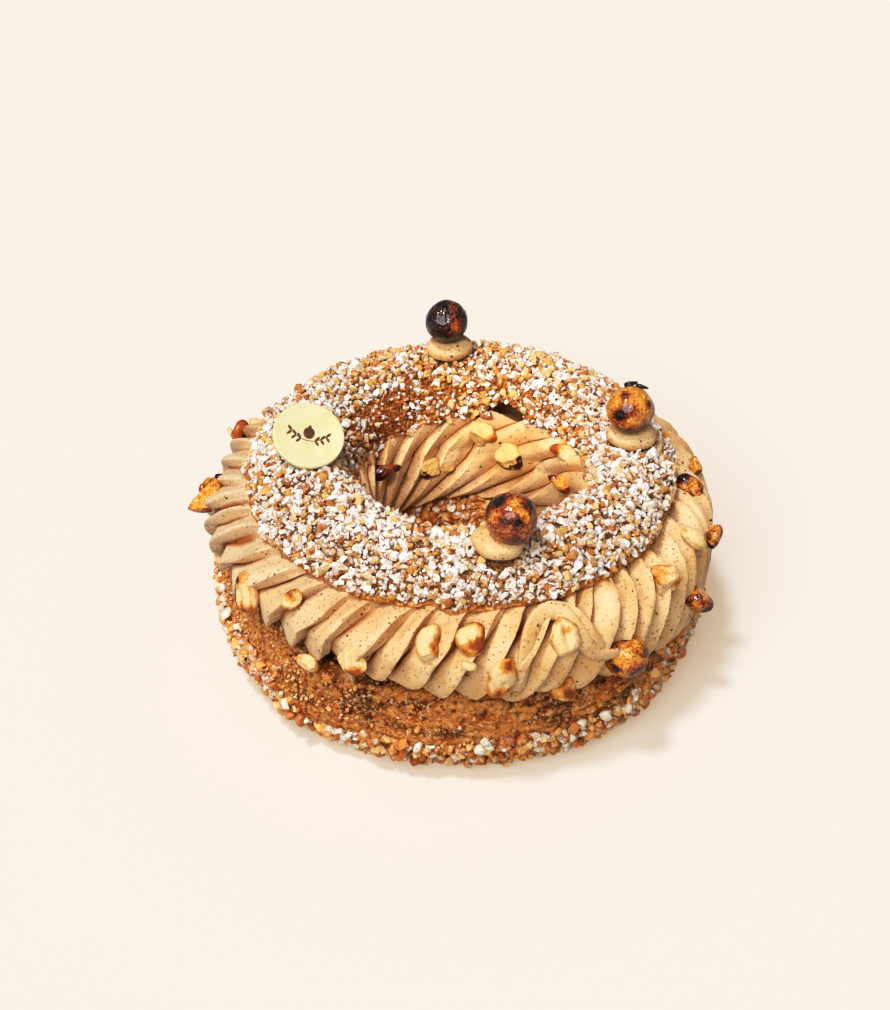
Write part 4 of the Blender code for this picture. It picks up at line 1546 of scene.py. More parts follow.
@dataclass(frozen=True)
class GrainKind:
    """One kind of scattered grain.

    Sizes are the smallest and largest in mm. Flatness shrinks a grain along the surface's
    normal, cuts are its flat breaks, and sink is the share of it below the surface. Sugar
    and tone are the lowest and highest value stored on a grain. Luck is the range of chance,
    from 0 to 1, in which a spot gets this kind.
    """

    name: str
    slot: Slot
    sizes: tuple[float, float]
    flatness: float
    cuts: int
    sink: float
    sugar: tuple[float, float]
    tone: tuple[float, float]
    luck: tuple[float, float] = (0.0, 1.0)
    lumpy: float = 0.12
    sharp_above: float = 38.0
    cut_depth: tuple[float, float] = (0.35, 0.8)
    size_bias: tuple[float, float] = (1.6, 2.6)
    stretch: tuple[float, float] = (0.72, 1.2)
    lowest: float = 0.02

    def build(self, spots: Spots, material: bpy.types.Material, dice: np.random.Generator) -> None:
        """One mesh with a grain on every spot.

        A grain is a rounded cube whose points are moved at random, cut back to random
        planes, stretched, turned, and set on its spot along the surface normal.

        Args:
            spots: where the grains lie.
            material: finish of the grains.
            dice: random source.
        """
        shape, quads = pebble()
        count = len(spots)
        points = shape[None] * (1.0 + self.lumpy * dice.normal(size=(count, len(shape), 1)))
        for _ in range(self.cuts):
            away = unit(dice.normal(size=(count, 1, 3)))
            depth = dice.uniform(*self.cut_depth, (count, 1, 1))
            over = np.maximum((points * away).sum(axis=-1, keepdims=True) - depth, 0.0)
            points = points - over * away
        smallest, largest = self.sizes
        size = smallest + (largest - smallest) * dice.beta(*self.size_bias, count)
        stretch = dice.uniform(*self.stretch, (count, 1, 3))
        points = points * stretch * 0.5 * size[:, None, None]
        points = np.einsum("nij,nkj->nki", random_turns(count, dice), points)
        along = (points * spots.normal[:, None]).sum(axis=-1, keepdims=True)
        points = points - (1.0 - self.flatness) * along * spots.normal[:, None]
        lift = (0.5 - self.sink) * size * self.flatness
        points = points + (spots.place + lift[:, None] * spots.normal)[:, None]
        points[..., 2] = np.maximum(points[..., 2], self.lowest)
        faces = quads[None] + (np.arange(count) * len(shape))[:, None, None]
        piece = write_mesh(self.name, points, faces.reshape(-1, 4).tolist(), self.sharp_above)
        for label, (low, high) in (("sugar", self.sugar), ("tone", self.tone)):
            set_values(piece, label, np.repeat(dice.uniform(low, high, count), len(shape)))
        settle(dress(piece, material), self.slot)


# ---------------------------------------------------------------- nuts and toppings

Patch = tuple[float, float, float, float]
FRONT_LEAN = math.radians(37.0)
FRONT_FACING = np.array((
    (1.0, 0.0, 0.0),
    (0.0, math.sin(FRONT_LEAN), -math.cos(FRONT_LEAN)),
    (0.0, math.cos(FRONT_LEAN), math.sin(FRONT_LEAN)),
))


def ball_grid(rows: int, columns: int) -> Array:
    """Unit sphere as a grid from just under its +Z pole to just above its -Z pole."""
    polar = (np.linspace(0.0, math.pi, rows + 2)[1:-1])[:, None]
    around = around_circle(columns)
    x, y = np.sin(polar) * np.cos(around), np.sin(polar) * np.sin(around)
    return np.stack(np.broadcast_arrays(x, y, np.cos(polar)), axis=-1)


def box_sizes(node: str) -> tuple[Array, Array]:
    """Middle and half size in mm of a CAD node's box."""
    low, high = (np.array(corner) * 1000.0 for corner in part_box(node))
    return 0.5 * (low + high), 0.5 * (high - low)


@dataclass
class WholeNut:
    """Whole hazelnut in lumpy caramel, burnt in patches.

    A patch is its place right and up on the side that faces forward, as shares of the
    radius, its reach, and how much more burnt it is.
    """

    node: str
    seed: int
    burn: float
    lumps: float
    patches: tuple[Patch, ...]
    cells: tuple[int, int] = (72, 112)

    def build(self, material: bpy.types.Material) -> None:
        """The nut: a sphere as wide as its CAD node, swollen by layered noise."""
        middle, radius = box_sizes(self.node)
        ball = ball_grid(*self.cells)
        far = ball * 7.0 + 50.0 * self.seed
        swell = 0.035 * lattice_noise(far, 5.0, self.seed)
        swell = swell + self.lumps * layered_noise(far, 2.0, 3, self.seed + 5)
        points = middle + ball * radius * (0.975 + swell)[..., None]
        piece = ball_piece("caramelised_" + self.node, points)
        burn = self.burn + 0.16 * layered_noise(far, 2.6, 3, self.seed + 9)
        frayed = 1.0 + 0.5 * lattice_noise(far, 1.6, self.seed + 11)
        for right, up, reach, amount in self.patches:
            way = np.array((right, up, math.sqrt(max(0.0, 1.0 - right * right - up * up))))
            gap = np.linalg.norm(ball - FRONT_FACING @ unit(way), axis=-1)
            burn = burn + amount * np.exp(-((gap / reach) ** 2) * frayed)
        set_values(piece, "burn", np.clip(burn, 0.0, 1.0))
        settle(dress(piece, material), Slot.CARAMEL, self.node)


@dataclass
class SetNut:
    """Nut piece pressed into the cream, or a loose bit beside one.

    Sizes are across, up and out of the cream in mm. An outline wave is its count around,
    its height as a share, and the direction in degrees of its first swelling. A cut is a
    flat break: direction in degrees, lean towards the front, and depth from the middle as
    a share. A patch is its place right and up in mm, its reach, and how much more toasted;
    skins are patches of skin. The hollow is its place, width, height and depth, and the
    face the height of the flat front, all as shares. The bend curves the piece upwards.
    """

    node: str
    size: Triple
    turn: float = 0.0
    waves: tuple[tuple[int, float, float], ...] = ()
    cuts: tuple[Triple, ...] = ()
    patches: tuple[Patch, ...] = ()
    skins: tuple[Patch, ...] = ()
    toast: float = 0.1
    hollow: tuple[float, float, float, float, float] = (0.0, 0.0, 1.0, 1.0, 0.0)
    face: float = 1.0
    bend: float = 0.0
    side: Side = Side.OUTER
    shift: Triple = (0.0, 0.0, 0.0)
    bit: str = ""
    cells: tuple[int, int] = (42, 66)

    def facing(self, cream: PipedCream) -> Array:
        """Rotation that turns +Z out of the cream at the nut's place, or to the front."""
        if self.side is Side.FORWARD:
            return FRONT_FACING
        middle = box_middle(self.node)
        azimuth = math.atan2(middle[1] - cream.crown.y, middle[0] - cream.crown.x)
        side = -1.0 if self.side is Side.HOLE else 1.0
        power = cream.squareness
        rise = float(np.clip((middle[2] - cream.mid_height) / cream.half_height, -0.9, 0.9))
        reach = (1.0 - abs(rise) ** power) ** (1.0 / power)
        out = side * reach ** (power - 1.0) / cream.half_width
        up = math.copysign(abs(rise) ** (power - 1.0), rise) / cream.half_height
        outwards = unit(np.array((out * math.cos(azimuth), out * math.sin(azimuth), up)))
        level = unit(np.cross((0.0, 0.0, 1.0), outwards))
        return np.stack((level, np.cross(outwards, level), outwards), axis=1)

    def shape(self, seed: int) -> tuple[Array, Array, Array]:
        """Nut surface in mm before it is turned out of the cream, its noise places, breaks."""
        ball = ball_grid(*self.cells)
        far = ball * 6.0 + seed % 97
        around = np.arctan2(ball[..., 1], ball[..., 0])
        swell = 1.0 + 0.05 * lattice_noise(far, 4.0, seed)
        for count, height, way in self.waves:
            swell = swell + height * np.cos(count * (around - math.radians(way)))
        points = ball * np.stack((swell, swell, np.ones_like(swell)), axis=-1)
        broken = np.zeros(ball.shape[:2])
        for way, lean, depth in self.cuts:
            away = np.array(direction(way, lean))
            rough = depth + 0.04 * lattice_noise(far, 2.4, seed + 3)
            over = np.maximum((points * away).sum(axis=-1) - rough, 0.0)
            points = points - 0.94 * over[..., None] * away
            broken = np.maximum(broken, ease(over, 0.0, 0.12))
        over = points[..., 2] - self.face * (1.0 + 0.12 * lattice_noise(far, 2.6, seed + 1))
        flattened = np.where(over > 0.0, over - 0.12 * np.tanh(over / 0.3), 0.0)
        x, y, wide, high, deep = self.hollow
        pit = ((points[..., 0] - x) / wide) ** 2 + ((points[..., 1] - y) / high) ** 2
        pit = deep * np.exp(-pit) * ease(ball[..., 2], 0.0, 0.4)
        points[..., 2] = points[..., 2] - flattened - pit
        points = points * (1.0 + 0.035 * layered_noise(far, 1.7, 3, seed + 2)[..., None])
        points = points * 0.5 * np.array(self.size)
        bent = self.bend * (points[..., 0] ** 2 - 0.1 * self.size[0] ** 2)
        points[..., 1] = points[..., 1] + bent
        cosine, sine = math.cos(math.radians(self.turn)), math.sin(math.radians(self.turn))
        flat = np.array(((cosine, -sine, 0.0), (sine, cosine, 0.0), (0.0, 0.0, 1.0)))
        return points @ flat.T, far, broken

    def build(self, cream: PipedCream, material: bpy.types.Material, slot: Slot) -> None:
        """The nut piece: a ball waved, cut, hollowed, bent and set on the cream."""
        seed = sum(ord(letter) * (i + 1) for i, letter in enumerate(self.bit or self.node))
        points, far, broken = self.shape(seed)
        placed = (points + np.array(self.shift)) @ self.facing(cream).T + box_middle(self.node)
        piece = ball_piece("bit_" + self.bit if self.bit else "piece_" + self.node, placed)
        scatter = 0.22 * layered_noise(far, 2.6, 3, seed + 4)
        frayed = 1.0 + 0.5 * lattice_noise(far, 1.4, seed + 6)
        edge = np.hypot(points[..., 0] / self.size[0], points[..., 1] / self.size[1]) * 2.0
        toast = self.toast - 0.12 * broken + 0.34 * ease(edge, 0.7, 1.02) * (1.0 - broken)
        tones = {"burn" if slot is Slot.CARAMEL else "toast": (toast, self.patches)}
        tones["skin"] = (np.full_like(toast, -0.2), self.skins)
        for label, (tone, patches) in tones.items():
            for right, up, reach, amount in patches:
                gap = np.hypot(points[..., 0] - right, points[..., 1] - up) / reach
                tone = tone + amount * np.exp(-(gap**2) * frayed)
            set_values(piece, label, np.clip(tone + scatter, 0.0, 1.0))
        settle(dress(piece, material), slot, *(() if self.bit else (self.node,)))


@dataclass
class JoinStrand:
    """Ribbon of cream where the last blades were piped over the first.

    Path points are azimuth in degrees, distance from the axis and height in mm.
    """

    name: str
    path: tuple[Triple, ...]
    width: float = 5.4
    crest: float = 1.6
    steps: int = 120
    sides: int = 28

    def curve(self) -> Array:
        """Smooth path through the points: a cubic between each two, led by their neighbours."""
        knots = np.array(self.path)
        step = np.linspace(0.0, len(knots) - 1.0, self.steps)
        low = np.clip(step.astype(int), 0, len(knots) - 2)
        t = (step - low)[:, None]
        last = len(knots) - 1
        before, first, second, after = (knots[np.clip(low + i, 0, last)] for i in (-1, 0, 1, 2))
        return 0.5 * (
            2.0 * first + (second - before) * t
            + (2.0 * before - 5.0 * first + 4.0 * second - after) * t**2
            + (3.0 * first - before - 3.0 * second + after) * t**3
        )

    def build(self, crown: Crown, material: bpy.types.Material) -> None:
        """The ribbon: a lopsided section with a rounded crest, carried along its path."""
        degrees, radius, height = self.curve().T
        azimuth = np.radians(degrees)
        middle = crown.place(radius, azimuth, height, crown.cream_drift)
        along = unit(np.gradient(middle, axis=0))
        lift = np.clip((height - 38.0) / 16.0, -0.3, 1.2)
        away = np.stack((np.cos(azimuth), np.sin(azimuth), lift), axis=-1)
        across = unit(np.cross(along, away))
        out = np.cross(across, along)[:, None]
        turn = around_circle(self.sides)[0]
        side = (0.5 * self.width * signed_power(np.sin(turn), 0.75))[None, :, None]
        rise = self.crest * (signed_power(np.cos(turn), 0.75) - 0.45 - 0.3 * np.sin(turn))
        fade = np.sin(np.linspace(0.05, math.pi - 0.05, self.steps)) ** 0.35
        ribbon = side * across[:, None] + rise[None, :, None] * out
        grid = middle[:, None] + fade[:, None, None] * ribbon
        grid = grid + 0.16 * lattice_noise(grid, 4.0, 88)[..., None] * out
        piece = dress(ball_piece(self.name, grid, 42.0), material)
        # Painted shade on the ribbon's lower side.
        shade = np.clip(0.25 - np.cos(turn), 0.0, 0.8)
        set_values(piece, "painted_shade", np.repeat(shade[None], self.steps, axis=0))
        settle(piece, Slot.CREAM)


@dataclass
class Dollop:
    """Small rounded kiss of cream, pressed down a little by what stands on it."""

    node: str
    seed: int
    least: Triple = (7.0, 7.0, 3.3)
    cells: tuple[int, int] = (40, 90)

    def build(self, material: bpy.types.Material) -> None:
        """The dollop: a squat ball, fuller low down, uneven around its foot."""
        middle, half = box_sizes(self.node)
        ball = ball_grid(*self.cells)
        around = np.arctan2(ball[..., 1], ball[..., 0])
        swell = 0.03 * np.sin(2 * around + self.seed) + 0.02 * np.sin(5 * around + 2.0 * self.seed)
        swell = swell + 0.03 * lattice_noise(ball * 6.0 + 10.0 * self.seed, 4.0, self.seed)
        ball[..., 2] = signed_power(ball[..., 2], 0.8)
        points = middle + ball * np.maximum(half, self.least) * (1.0 + swell)[..., None]
        piece = dress(ball_piece("cream_" + self.node, points), material)
        settle(piece, Slot.CREAM, self.node)


@dataclass
class Disc:
    """Thin round disc of ivory chocolate, with a sprig printed on its face."""

    node: str = "chocolate_disc"
    normal: Triple = (0.22, -0.47, 0.855)
    radius: float = 10.6
    thickness: float = 1.5
    bevel: float = 0.45
    leaf_places: tuple[float, ...] = (-5.2, -3.7, -2.2, 2.2, 3.7, 5.2)
    leaf_lean: float = 50.0
    leaf_size: tuple[float, float] = (1.05, 0.42)
    stem_reach: float = 5.6
    stem_bow: float = 0.085
    stem_low: float = -1.9

    def frame(self) -> tuple[Array, Array]:
        """Middle of the disc and its axes as columns, the last one square to its face."""
        up = unit(np.array(self.normal))
        side = unit(np.cross((0.0, 1.0, 0.0), up))
        return box_middle(self.node), np.stack((side, np.cross(up, side), up), axis=1)

    def build(self) -> None:
        """The disc: a flat face, a rounded edge and a flat back, turned about its middle."""
        half = 0.5 * self.thickness
        turn = np.linspace(0.0, math.pi, 17)
        flat = np.linspace(0.05, 0.96, 14) * (self.radius - self.bevel)
        level = np.full(len(flat), half)
        edge = self.radius - self.bevel + self.bevel * np.sin(turn)
        radius = np.concatenate((flat, edge, flat[::-1]))[:, None]
        height = np.concatenate((level, half * signed_power(np.cos(turn), 0.7), -level))[:, None]
        around = around_circle(160)
        radius = radius * (1.0 + 0.003 * np.sin(3 * around + 1.0) + 0.002 * np.sin(7 * around))
        local = np.broadcast_arrays(radius * np.cos(around), radius * np.sin(around), height)
        middle, axes = self.frame()
        piece = ball_piece("ivory_disc", np.stack(local, axis=-1) @ axes.T + middle, 60.0)
        settle(dress(piece, ChocolateFinish().build()), Slot.CHOCOLATE, self.node)

    def stem(self, across: Array) -> Array:
        """Height of the sprig's curved stem on the face, in mm."""
        return self.stem_low + self.stem_bow * across * across

    def sprig(self, ball: Array) -> Array:
        """Parts of the sprig laid flat: leaves in pairs, a dotted stem, and a nut with a tip.

        Each is the ball given, flattened; a leaf's ball is pointed at both ends.
        """
        pointed = 1.0 - 0.45 * ball[..., 0] ** 2
        leaf = np.stack((ball[..., 0], ball[..., 1] * pointed, ball[..., 2]), axis=-1)
        parts = []
        for place in self.leaf_places:
            for rise in (1.0, -1.0):
                lean = self.leaf_lean * rise if place > 0 else 180.0 - self.leaf_lean * rise
                cosine, sine = math.cos(math.radians(lean)), math.sin(math.radians(lean))
                turned = np.array(((cosine, sine), (-sine, cosine)))
                flat = (leaf[..., :2] * self.leaf_size) @ turned
                middle = (place + 0.55 * np.sign(place), self.stem(place) + 0.75 * rise)
                parts.append(np.concatenate((flat + middle, 0.07 * leaf[..., 2:]), axis=-1))
        for across in np.linspace(-self.stem_reach, self.stem_reach, 29):
            parts.append(ball * (0.3, 0.13, 0.06) + (across, self.stem(across), 0.0))
        parts.append(ball * (1.7, 1.9, 0.1) + (0.0, 0.6, 0.0))
        parts.append(ball * (0.5, 0.6, 0.1) + (0.0, 2.6, 0.0))
        return np.stack(parts)

    def build_sprig(self) -> None:
        """The printed sprig, each part closed at both ends by a flat face."""
        rows, columns = 9, 16
        middle, axes = self.frame()
        local = self.sprig(ball_grid(rows, columns)) + (0.0, 0.0, 0.5 * self.thickness + 0.02)
        placed = local @ axes.T + middle
        quads = grid_quads(rows, columns, False)
        if enclosed(placed[0].reshape(-1, 3), quads) < 0.0:
            quads = quads[:, ::-1]
        starts = rows * columns * np.arange(len(placed))
        faces = (quads[None] + starts[:, None, None]).reshape(-1, 4).tolist()
        ring = np.arange(columns)
        for start in starts:
            faces.append((start + ring).tolist())
            faces.append((start + (rows - 1) * columns + ring[::-1]).tolist())
        piece = write_mesh("disc_sprig", placed, faces)
        settle(dress(piece, PrintFinish().build()), Slot.CHOCOLATE)


# ---------------------------------------------------------------- studio


def hang_lamp(data: bpy.types.Light, away: Triple, place: Vector) -> None:
    """Put a lamp at a place in metres, turned so that it shines from the direction given."""
    lamp = bpy.data.objects.new(data.name, data)
    bpy.context.scene.collection.objects.link(lamp)
    lamp.location = place
    lamp.rotation_mode = "QUATERNION"
    lamp.rotation_quaternion = Vector(away).to_track_quat("Z", "Y")


@dataclass(frozen=True)
class SunLamp:
    """Distant lamp: where it stands in degrees, irradiance, width in degrees and tint."""

    name: str
    azimuth: float
    elevation: float
    strength: float
    softness: float
    tint: Triple = (1.0, 1.0, 1.0)

    def build(self) -> None:
        """Add the lamp."""
        data = bpy.data.lights.new(self.name, "SUN")
        data.color = self.tint
        data.energy = self.strength
        data.angle = math.radians(self.softness)
        hang_lamp(data, direction(self.azimuth, self.elevation), Vector())


@dataclass(frozen=True)
class SpotLamp:
    """Narrow soft lamp: where it stands in degrees, its distance in m and power in watts."""

    name: str
    azimuth: float
    elevation: float
    power: float
    distance: float = 0.5
    width: float = 6.6
    soft_rim: float = 0.6
    soft_size: float = 0.03

    def build(self, aim: Vector) -> None:
        """Add the lamp, aimed at a place in mm."""
        data = bpy.data.lights.new(self.name, "SPOT")
        data.energy = self.power
        data.spot_size = math.radians(self.width)
        data.spot_blend = self.soft_rim
        data.shadow_soft_size = self.soft_size
        away = direction(self.azimuth, self.elevation)
        hang_lamp(data, away, aim * MM + Vector(away) * self.distance)


@dataclass
class Studio:
    """Pale floor, soft light and the camera.

    The camera's aim and the hole lamp's are in mm from the crown's axis. Contrast is the
    view curve: light that comes in, and light that is shown.
    """

    crown: Crown
    lens: float = 57.74
    elevation: float = 37.0
    distance: float = 500.0
    aim: Triple = (-8.5, 0.0, 42.0)
    floor_half: float = 3000.0
    floor_cells: int = 8
    floor_sink: float = 0.05
    backdrop: Colour = paint(245.0, 233.0, 221.5)
    ambient: float = 0.20
    suns: tuple[SunLamp, ...] = (
        SunLamp("key_light", 203.0, 74.0, 1.65, 8.0, (0.99, 1.0, 1.04)),
        SunLamp("front_light", -113.0, 46.0, 2.4, 46.0),
    )
    hole_lamp: SpotLamp = SpotLamp("hole_light", -104.0, 47.0, 10.6)
    hole_aim: Triple = (7.0, 31.0, 37.0)
    contrast: tuple[tuple[float, float], ...] = (
        (0.0212, 0.0080), (0.0529, 0.0232), (0.1384, 0.0800), (0.2874, 0.2320),
        (0.5149, 0.5350), (0.6584, 0.7050), (0.8308, 0.8700),
    )

    def build(self) -> None:
        """Everything around the pastry."""
        self.build_camera()
        self.build_floor()
        self.build_surroundings()
        for sun in self.suns:
            sun.build()
        self.hole_lamp.build(self.from_axis(self.hole_aim))
        view = bpy.context.scene.view_settings
        view.view_transform = "Standard"
        view.use_curve_mapping = True
        for light, shown in self.contrast:
            view.curve_mapping.curves[3].points.new(light, shown)
        view.curve_mapping.update()

    def from_axis(self, place: Triple) -> Vector:
        """Place in mm in the row frame of one given from the crown's axis."""
        return Vector((self.crown.x + place[0], self.crown.y + place[1], place[2]))

    def build_camera(self) -> None:
        """Camera that looks along +Y and down on the pastry."""
        data = bpy.data.cameras.new("camera")
        data.lens = self.lens
        camera = bpy.data.objects.new("camera", data)
        bpy.context.scene.collection.objects.link(camera)
        away = Vector(direction(-90.0, self.elevation)) * self.distance
        camera.location = (self.from_axis(self.aim) + away) * MM
        camera.rotation_euler = (math.radians(90.0 - self.elevation), 0.0, 0.0)
        bpy.context.scene.camera = camera

    def build_floor(self) -> None:
        """Large pale floor, a grid of square cells just under the pastry."""
        count = self.floor_cells + 1
        rows = np.linspace(-self.floor_half, self.floor_half, count)
        x, y = np.meshgrid(rows, rows)
        points = np.stack((x, y, np.full_like(x, -self.floor_sink)), axis=-1)
        corners = (np.arange(count - 1)[:, None] * count + np.arange(count - 1)).ravel()
        faces = np.stack((corners, corners + 1, corners + count + 1, corners + count), axis=1)
        floor = write_mesh("floor", points, faces.tolist())
        dress(floor, FloorFinish().build())
        floor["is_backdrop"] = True

    def build_surroundings(self) -> None:
        """Even surrounding light, and the backdrop that the camera sees instead of it."""
        world = bpy.data.worlds.new("studio")
        bpy.context.scene.world = world
        world.use_nodes = True
        desk = NodeDesk(world.node_tree)
        seen = desk.add("Background", {"Color": self.backdrop, "Strength": 1.0})
        lit = desk.add("Background", {"Color": (1.0, 1.0, 1.0, 1.0), "Strength": self.ambient})
        ray = desk.add("LightPath").outputs["Is Camera Ray"]
        both = desk.add("MixShader", {0: ray, 1: lit.outputs[0], 2: seen.outputs[0]})
        desk.add("OutputWorld", {"Surface": both.outputs[0]})


# ---------------------------------------------------------------- the pastry

DOLLOPS = ("dollop_back", "dollop_right", "dollop_front", "dollop_left")
NUT_TONES = (
    (0.0, paint(146, 82, 42)), (0.22, paint(204, 130, 62)),
    (0.55, paint(228, 168, 88)), (1.0, paint(244, 206, 142)),
)
BASE_TONES = (
    (0.0, paint(144, 80, 38)), (0.22, paint(208, 128, 60)),
    (0.6, paint(240, 172, 92)), (1.0, paint(252, 212, 152)),
)
LID_SUGARED_NUTS = GrainKind(
    "lid_sugared_nuts", Slot.LID, (1.6, 4.0), 0.9, 5, 0.18, (0.40, 0.82), (0.2, 1.0), lumpy=0.2
)
LID_GOLDEN_NUTS = GrainKind(
    "lid_golden_nuts", Slot.LID, (1.7, 3.3), 1.0, 5, 0.0, (0.05, 0.42), (0.1, 1.0)
)
LID_CRUMBS = (
    GrainKind(
        "lid_sugared_crumbs", Slot.LID, (0.7, 1.9), 1.0, 3, 0.1, (0.5, 1.0), (0.0, 0.9), (0.0, 0.42)
    ),
    GrainKind(
        "lid_golden_crumbs", Slot.LID, (0.8, 2.0), 1.0, 3, 0.1, (0.0, 0.35), (0.0, 0.9), (0.86, 1.0)
    ),
)
LID_WALL_CRUMBS = GrainKind(
    "lid_wall_crumbs", Slot.LID, (0.5, 1.7), 1.0, 4, 0.2, (0.0, 0.02), (0.0, 0.28), (0.0, 0.8)
)
BASE_NUTS = (
    GrainKind(
        "base_golden_nuts", Slot.CRUST, (1.8, 4.0), 1.0, 5, 0.02, (0.0, 0.34), (0.16, 1.0),
        luck=(0.0, 0.64),
    ),
    GrainKind(
        "base_sugared_nuts", Slot.CRUST, (1.8, 3.8), 0.95, 4, 0.08, (0.2, 0.66), (0.1, 0.9),
        luck=(0.64, 0.9),
    ),
)
SUGAR_NIBS = GrainKind(
    "sugar_nibs", Slot.CRUST, (2.6, 4.6), 0.85, 3, 0.05, (1.0, 1.0), (1.0, 1.0),
    luck=(0.9, 1.0), lumpy=0.08, sharp_above=70.0,
)
BASE_CRUMBS = GrainKind(
    "base_crumbs", Slot.CRUST, (0.7, 1.9), 1.0, 4, 0.12, (0.0, 0.4), (0.0, 0.9), (0.0, 0.37)
)


@dataclass
class Topping:
    """Chopped nuts, sugar and crumbs on the lid and on the base.

    Spacings are the least distance in mm between grains. The base is covered up to a height
    in mm that drops at its front and left.
    """

    crown: Crown
    disc: Disc
    lid_nut_spacing: float = 1.85
    lid_crumb_spacing: float = 1.12
    lid_wall_spacing: float = 0.95
    base_nut_spacing: float = 2.05
    base_crumb_spacing: float = 1.5
    dollop_reach: float = 6.4
    cover_height: float = 27.5
    front_drop: float = 13.0
    left_drop: float = 7.0
    left_azimuth: float = -140.0

    def clear_of_lid_pieces(self, spots: Spots) -> Spots:
        """Spots that no dollop covers and that stay below the disc."""
        mask = np.ones(len(spots), bool)
        for node in DOLLOPS:
            gap = spots.place[:, :2] - box_middle(node)[:2]
            mask &= np.hypot(*gap.T) > self.dollop_reach
        middle, axes = self.disc.frame()
        local = (spots.place - middle) @ axes
        reach = np.hypot(local[:, 0], local[:, 1])
        return spots.keep(mask & ~((reach < self.disc.radius + 0.8) & (local[:, 2] > -2.6)))

    def build_lid(self, grid: Array, top: Array, bare: Array) -> None:
        """Grains over the dome to its rim, and sandy crumbs on the bare wall of the hole."""
        dice = np.random.default_rng(5)
        golden = GrainFinish("lid_grains", NUT_TONES).build()
        dome = top * (1.0 - 0.97 * bare)
        spots = self.clear_of_lid_pieces(spread(grid, self.lid_nut_spacing, dome, dice))
        depth = spots.place[:, 1]
        plain = 0.30 + 0.28 * lattice_noise(spots.place, 7.0, 92) + 0.28 * ease(depth, 10.0, 50.0)
        plain = plain - 0.16 * (1.0 - ease(depth, -62.0, -30.0))
        golden_ones = dice.random(len(spots)) < plain
        LID_SUGARED_NUTS.build(spots.keep(~golden_ones), golden, dice)
        LID_GOLDEN_NUTS.build(spots.keep(golden_ones), golden, dice)
        dome = top * (1.0 - 0.9 * bare)
        small = self.clear_of_lid_pieces(spread(grid, self.lid_crumb_spacing, dome, dice))
        luck = dice.random(len(small))
        for kind in LID_CRUMBS:
            kind.build(small.by_luck(luck, kind.luck), golden, dice)
        sandy = spread(grid, self.lid_wall_spacing, top * bare, dice)
        sandy = sandy.by_luck(dice.random(len(sandy)), LID_WALL_CRUMBS.luck)
        LID_WALL_CRUMBS.build(sandy, golden, dice)

    def build_base(self, grid: Array, degrees: Array) -> None:
        """Grains low on the base in front, and up to its edge on the left and right."""
        dice = np.random.default_rng(6)
        radius, height = self.crown.distance(grid), grid[..., 2]
        outside = ease(radius, 58.0, 64.0)
        front = 1.0 - ease(np.abs(turn_gap(degrees, FRONT)), 38.0, 58.0)
        left = turn_bell(degrees, self.left_azimuth, 28.0)
        limit = self.cover_height - self.front_drop * front - self.left_drop * left
        cover = outside * (1.0 - ease(height - limit, -1.5, 1.5)) * ease(height, 0.2, 1.0)
        hole = (1.0 - ease(radius, 37.0, 41.0)) * ease(height, 0.5, 2.0)
        hole = hole * (1.0 - ease(height, 18.0, 20.0))
        golden = GrainFinish("base_grains", BASE_TONES).build()
        spots = spread(grid, self.base_nut_spacing, cover + 0.8 * hole, dice)
        luck = dice.random(len(spots))
        for kind in BASE_NUTS:
            kind.build(spots.by_luck(luck, kind.luck), golden, dice)
        SUGAR_NIBS.build(spots.by_luck(luck, SUGAR_NIBS.luck), SugarFinish().build(), dice)
        dusty = 1.5 * left * outside * ease(height, 14.0, 18.0)
        crumbs = np.maximum(cover * 0.9 + 0.5 * hole, dusty)
        small = spread(grid, self.base_crumb_spacing, crumbs, dice)
        small = small.by_luck(dice.random(len(small)), BASE_CRUMBS.luck)
        BASE_CRUMBS.build(small, golden, dice)


JOIN_STRANDS = (
    JoinStrand(
        "cream_join_arch",
        path=(
            (-78.4, 71.8, 28.5), (-77.8, 75.0, 34.0), (-77.4, 76.0, 42.0), (-76.4, 75.0, 47.8),
            (-75.0, 72.4, 51.6), (-73.0, 69.6, 53.8), (-70.6, 68.6, 55.0), (-67.9, 69.0, 54.8),
            (-66.0, 71.4, 53.0), (-64.9, 74.2, 50.6), (-63.8, 76.0, 47.4), (-62.2, 77.0, 44.0),
            (-60.2, 77.6, 41.6), (-57.6, 78.0, 40.6), (-55.4, 78.2, 40.2),
        ),
    ),
    JoinStrand(
        "cream_join_side",
        path=(
            (-66.6, 67.0, 55.2), (-64.0, 70.6, 53.9), (-62.6, 73.6, 51.4), (-61.6, 75.6, 48.2),
            (-60.2, 76.6, 45.0), (-58.8, 76.8, 42.4),
        ),
        width=3.2, crest=1.7,
    ),
)

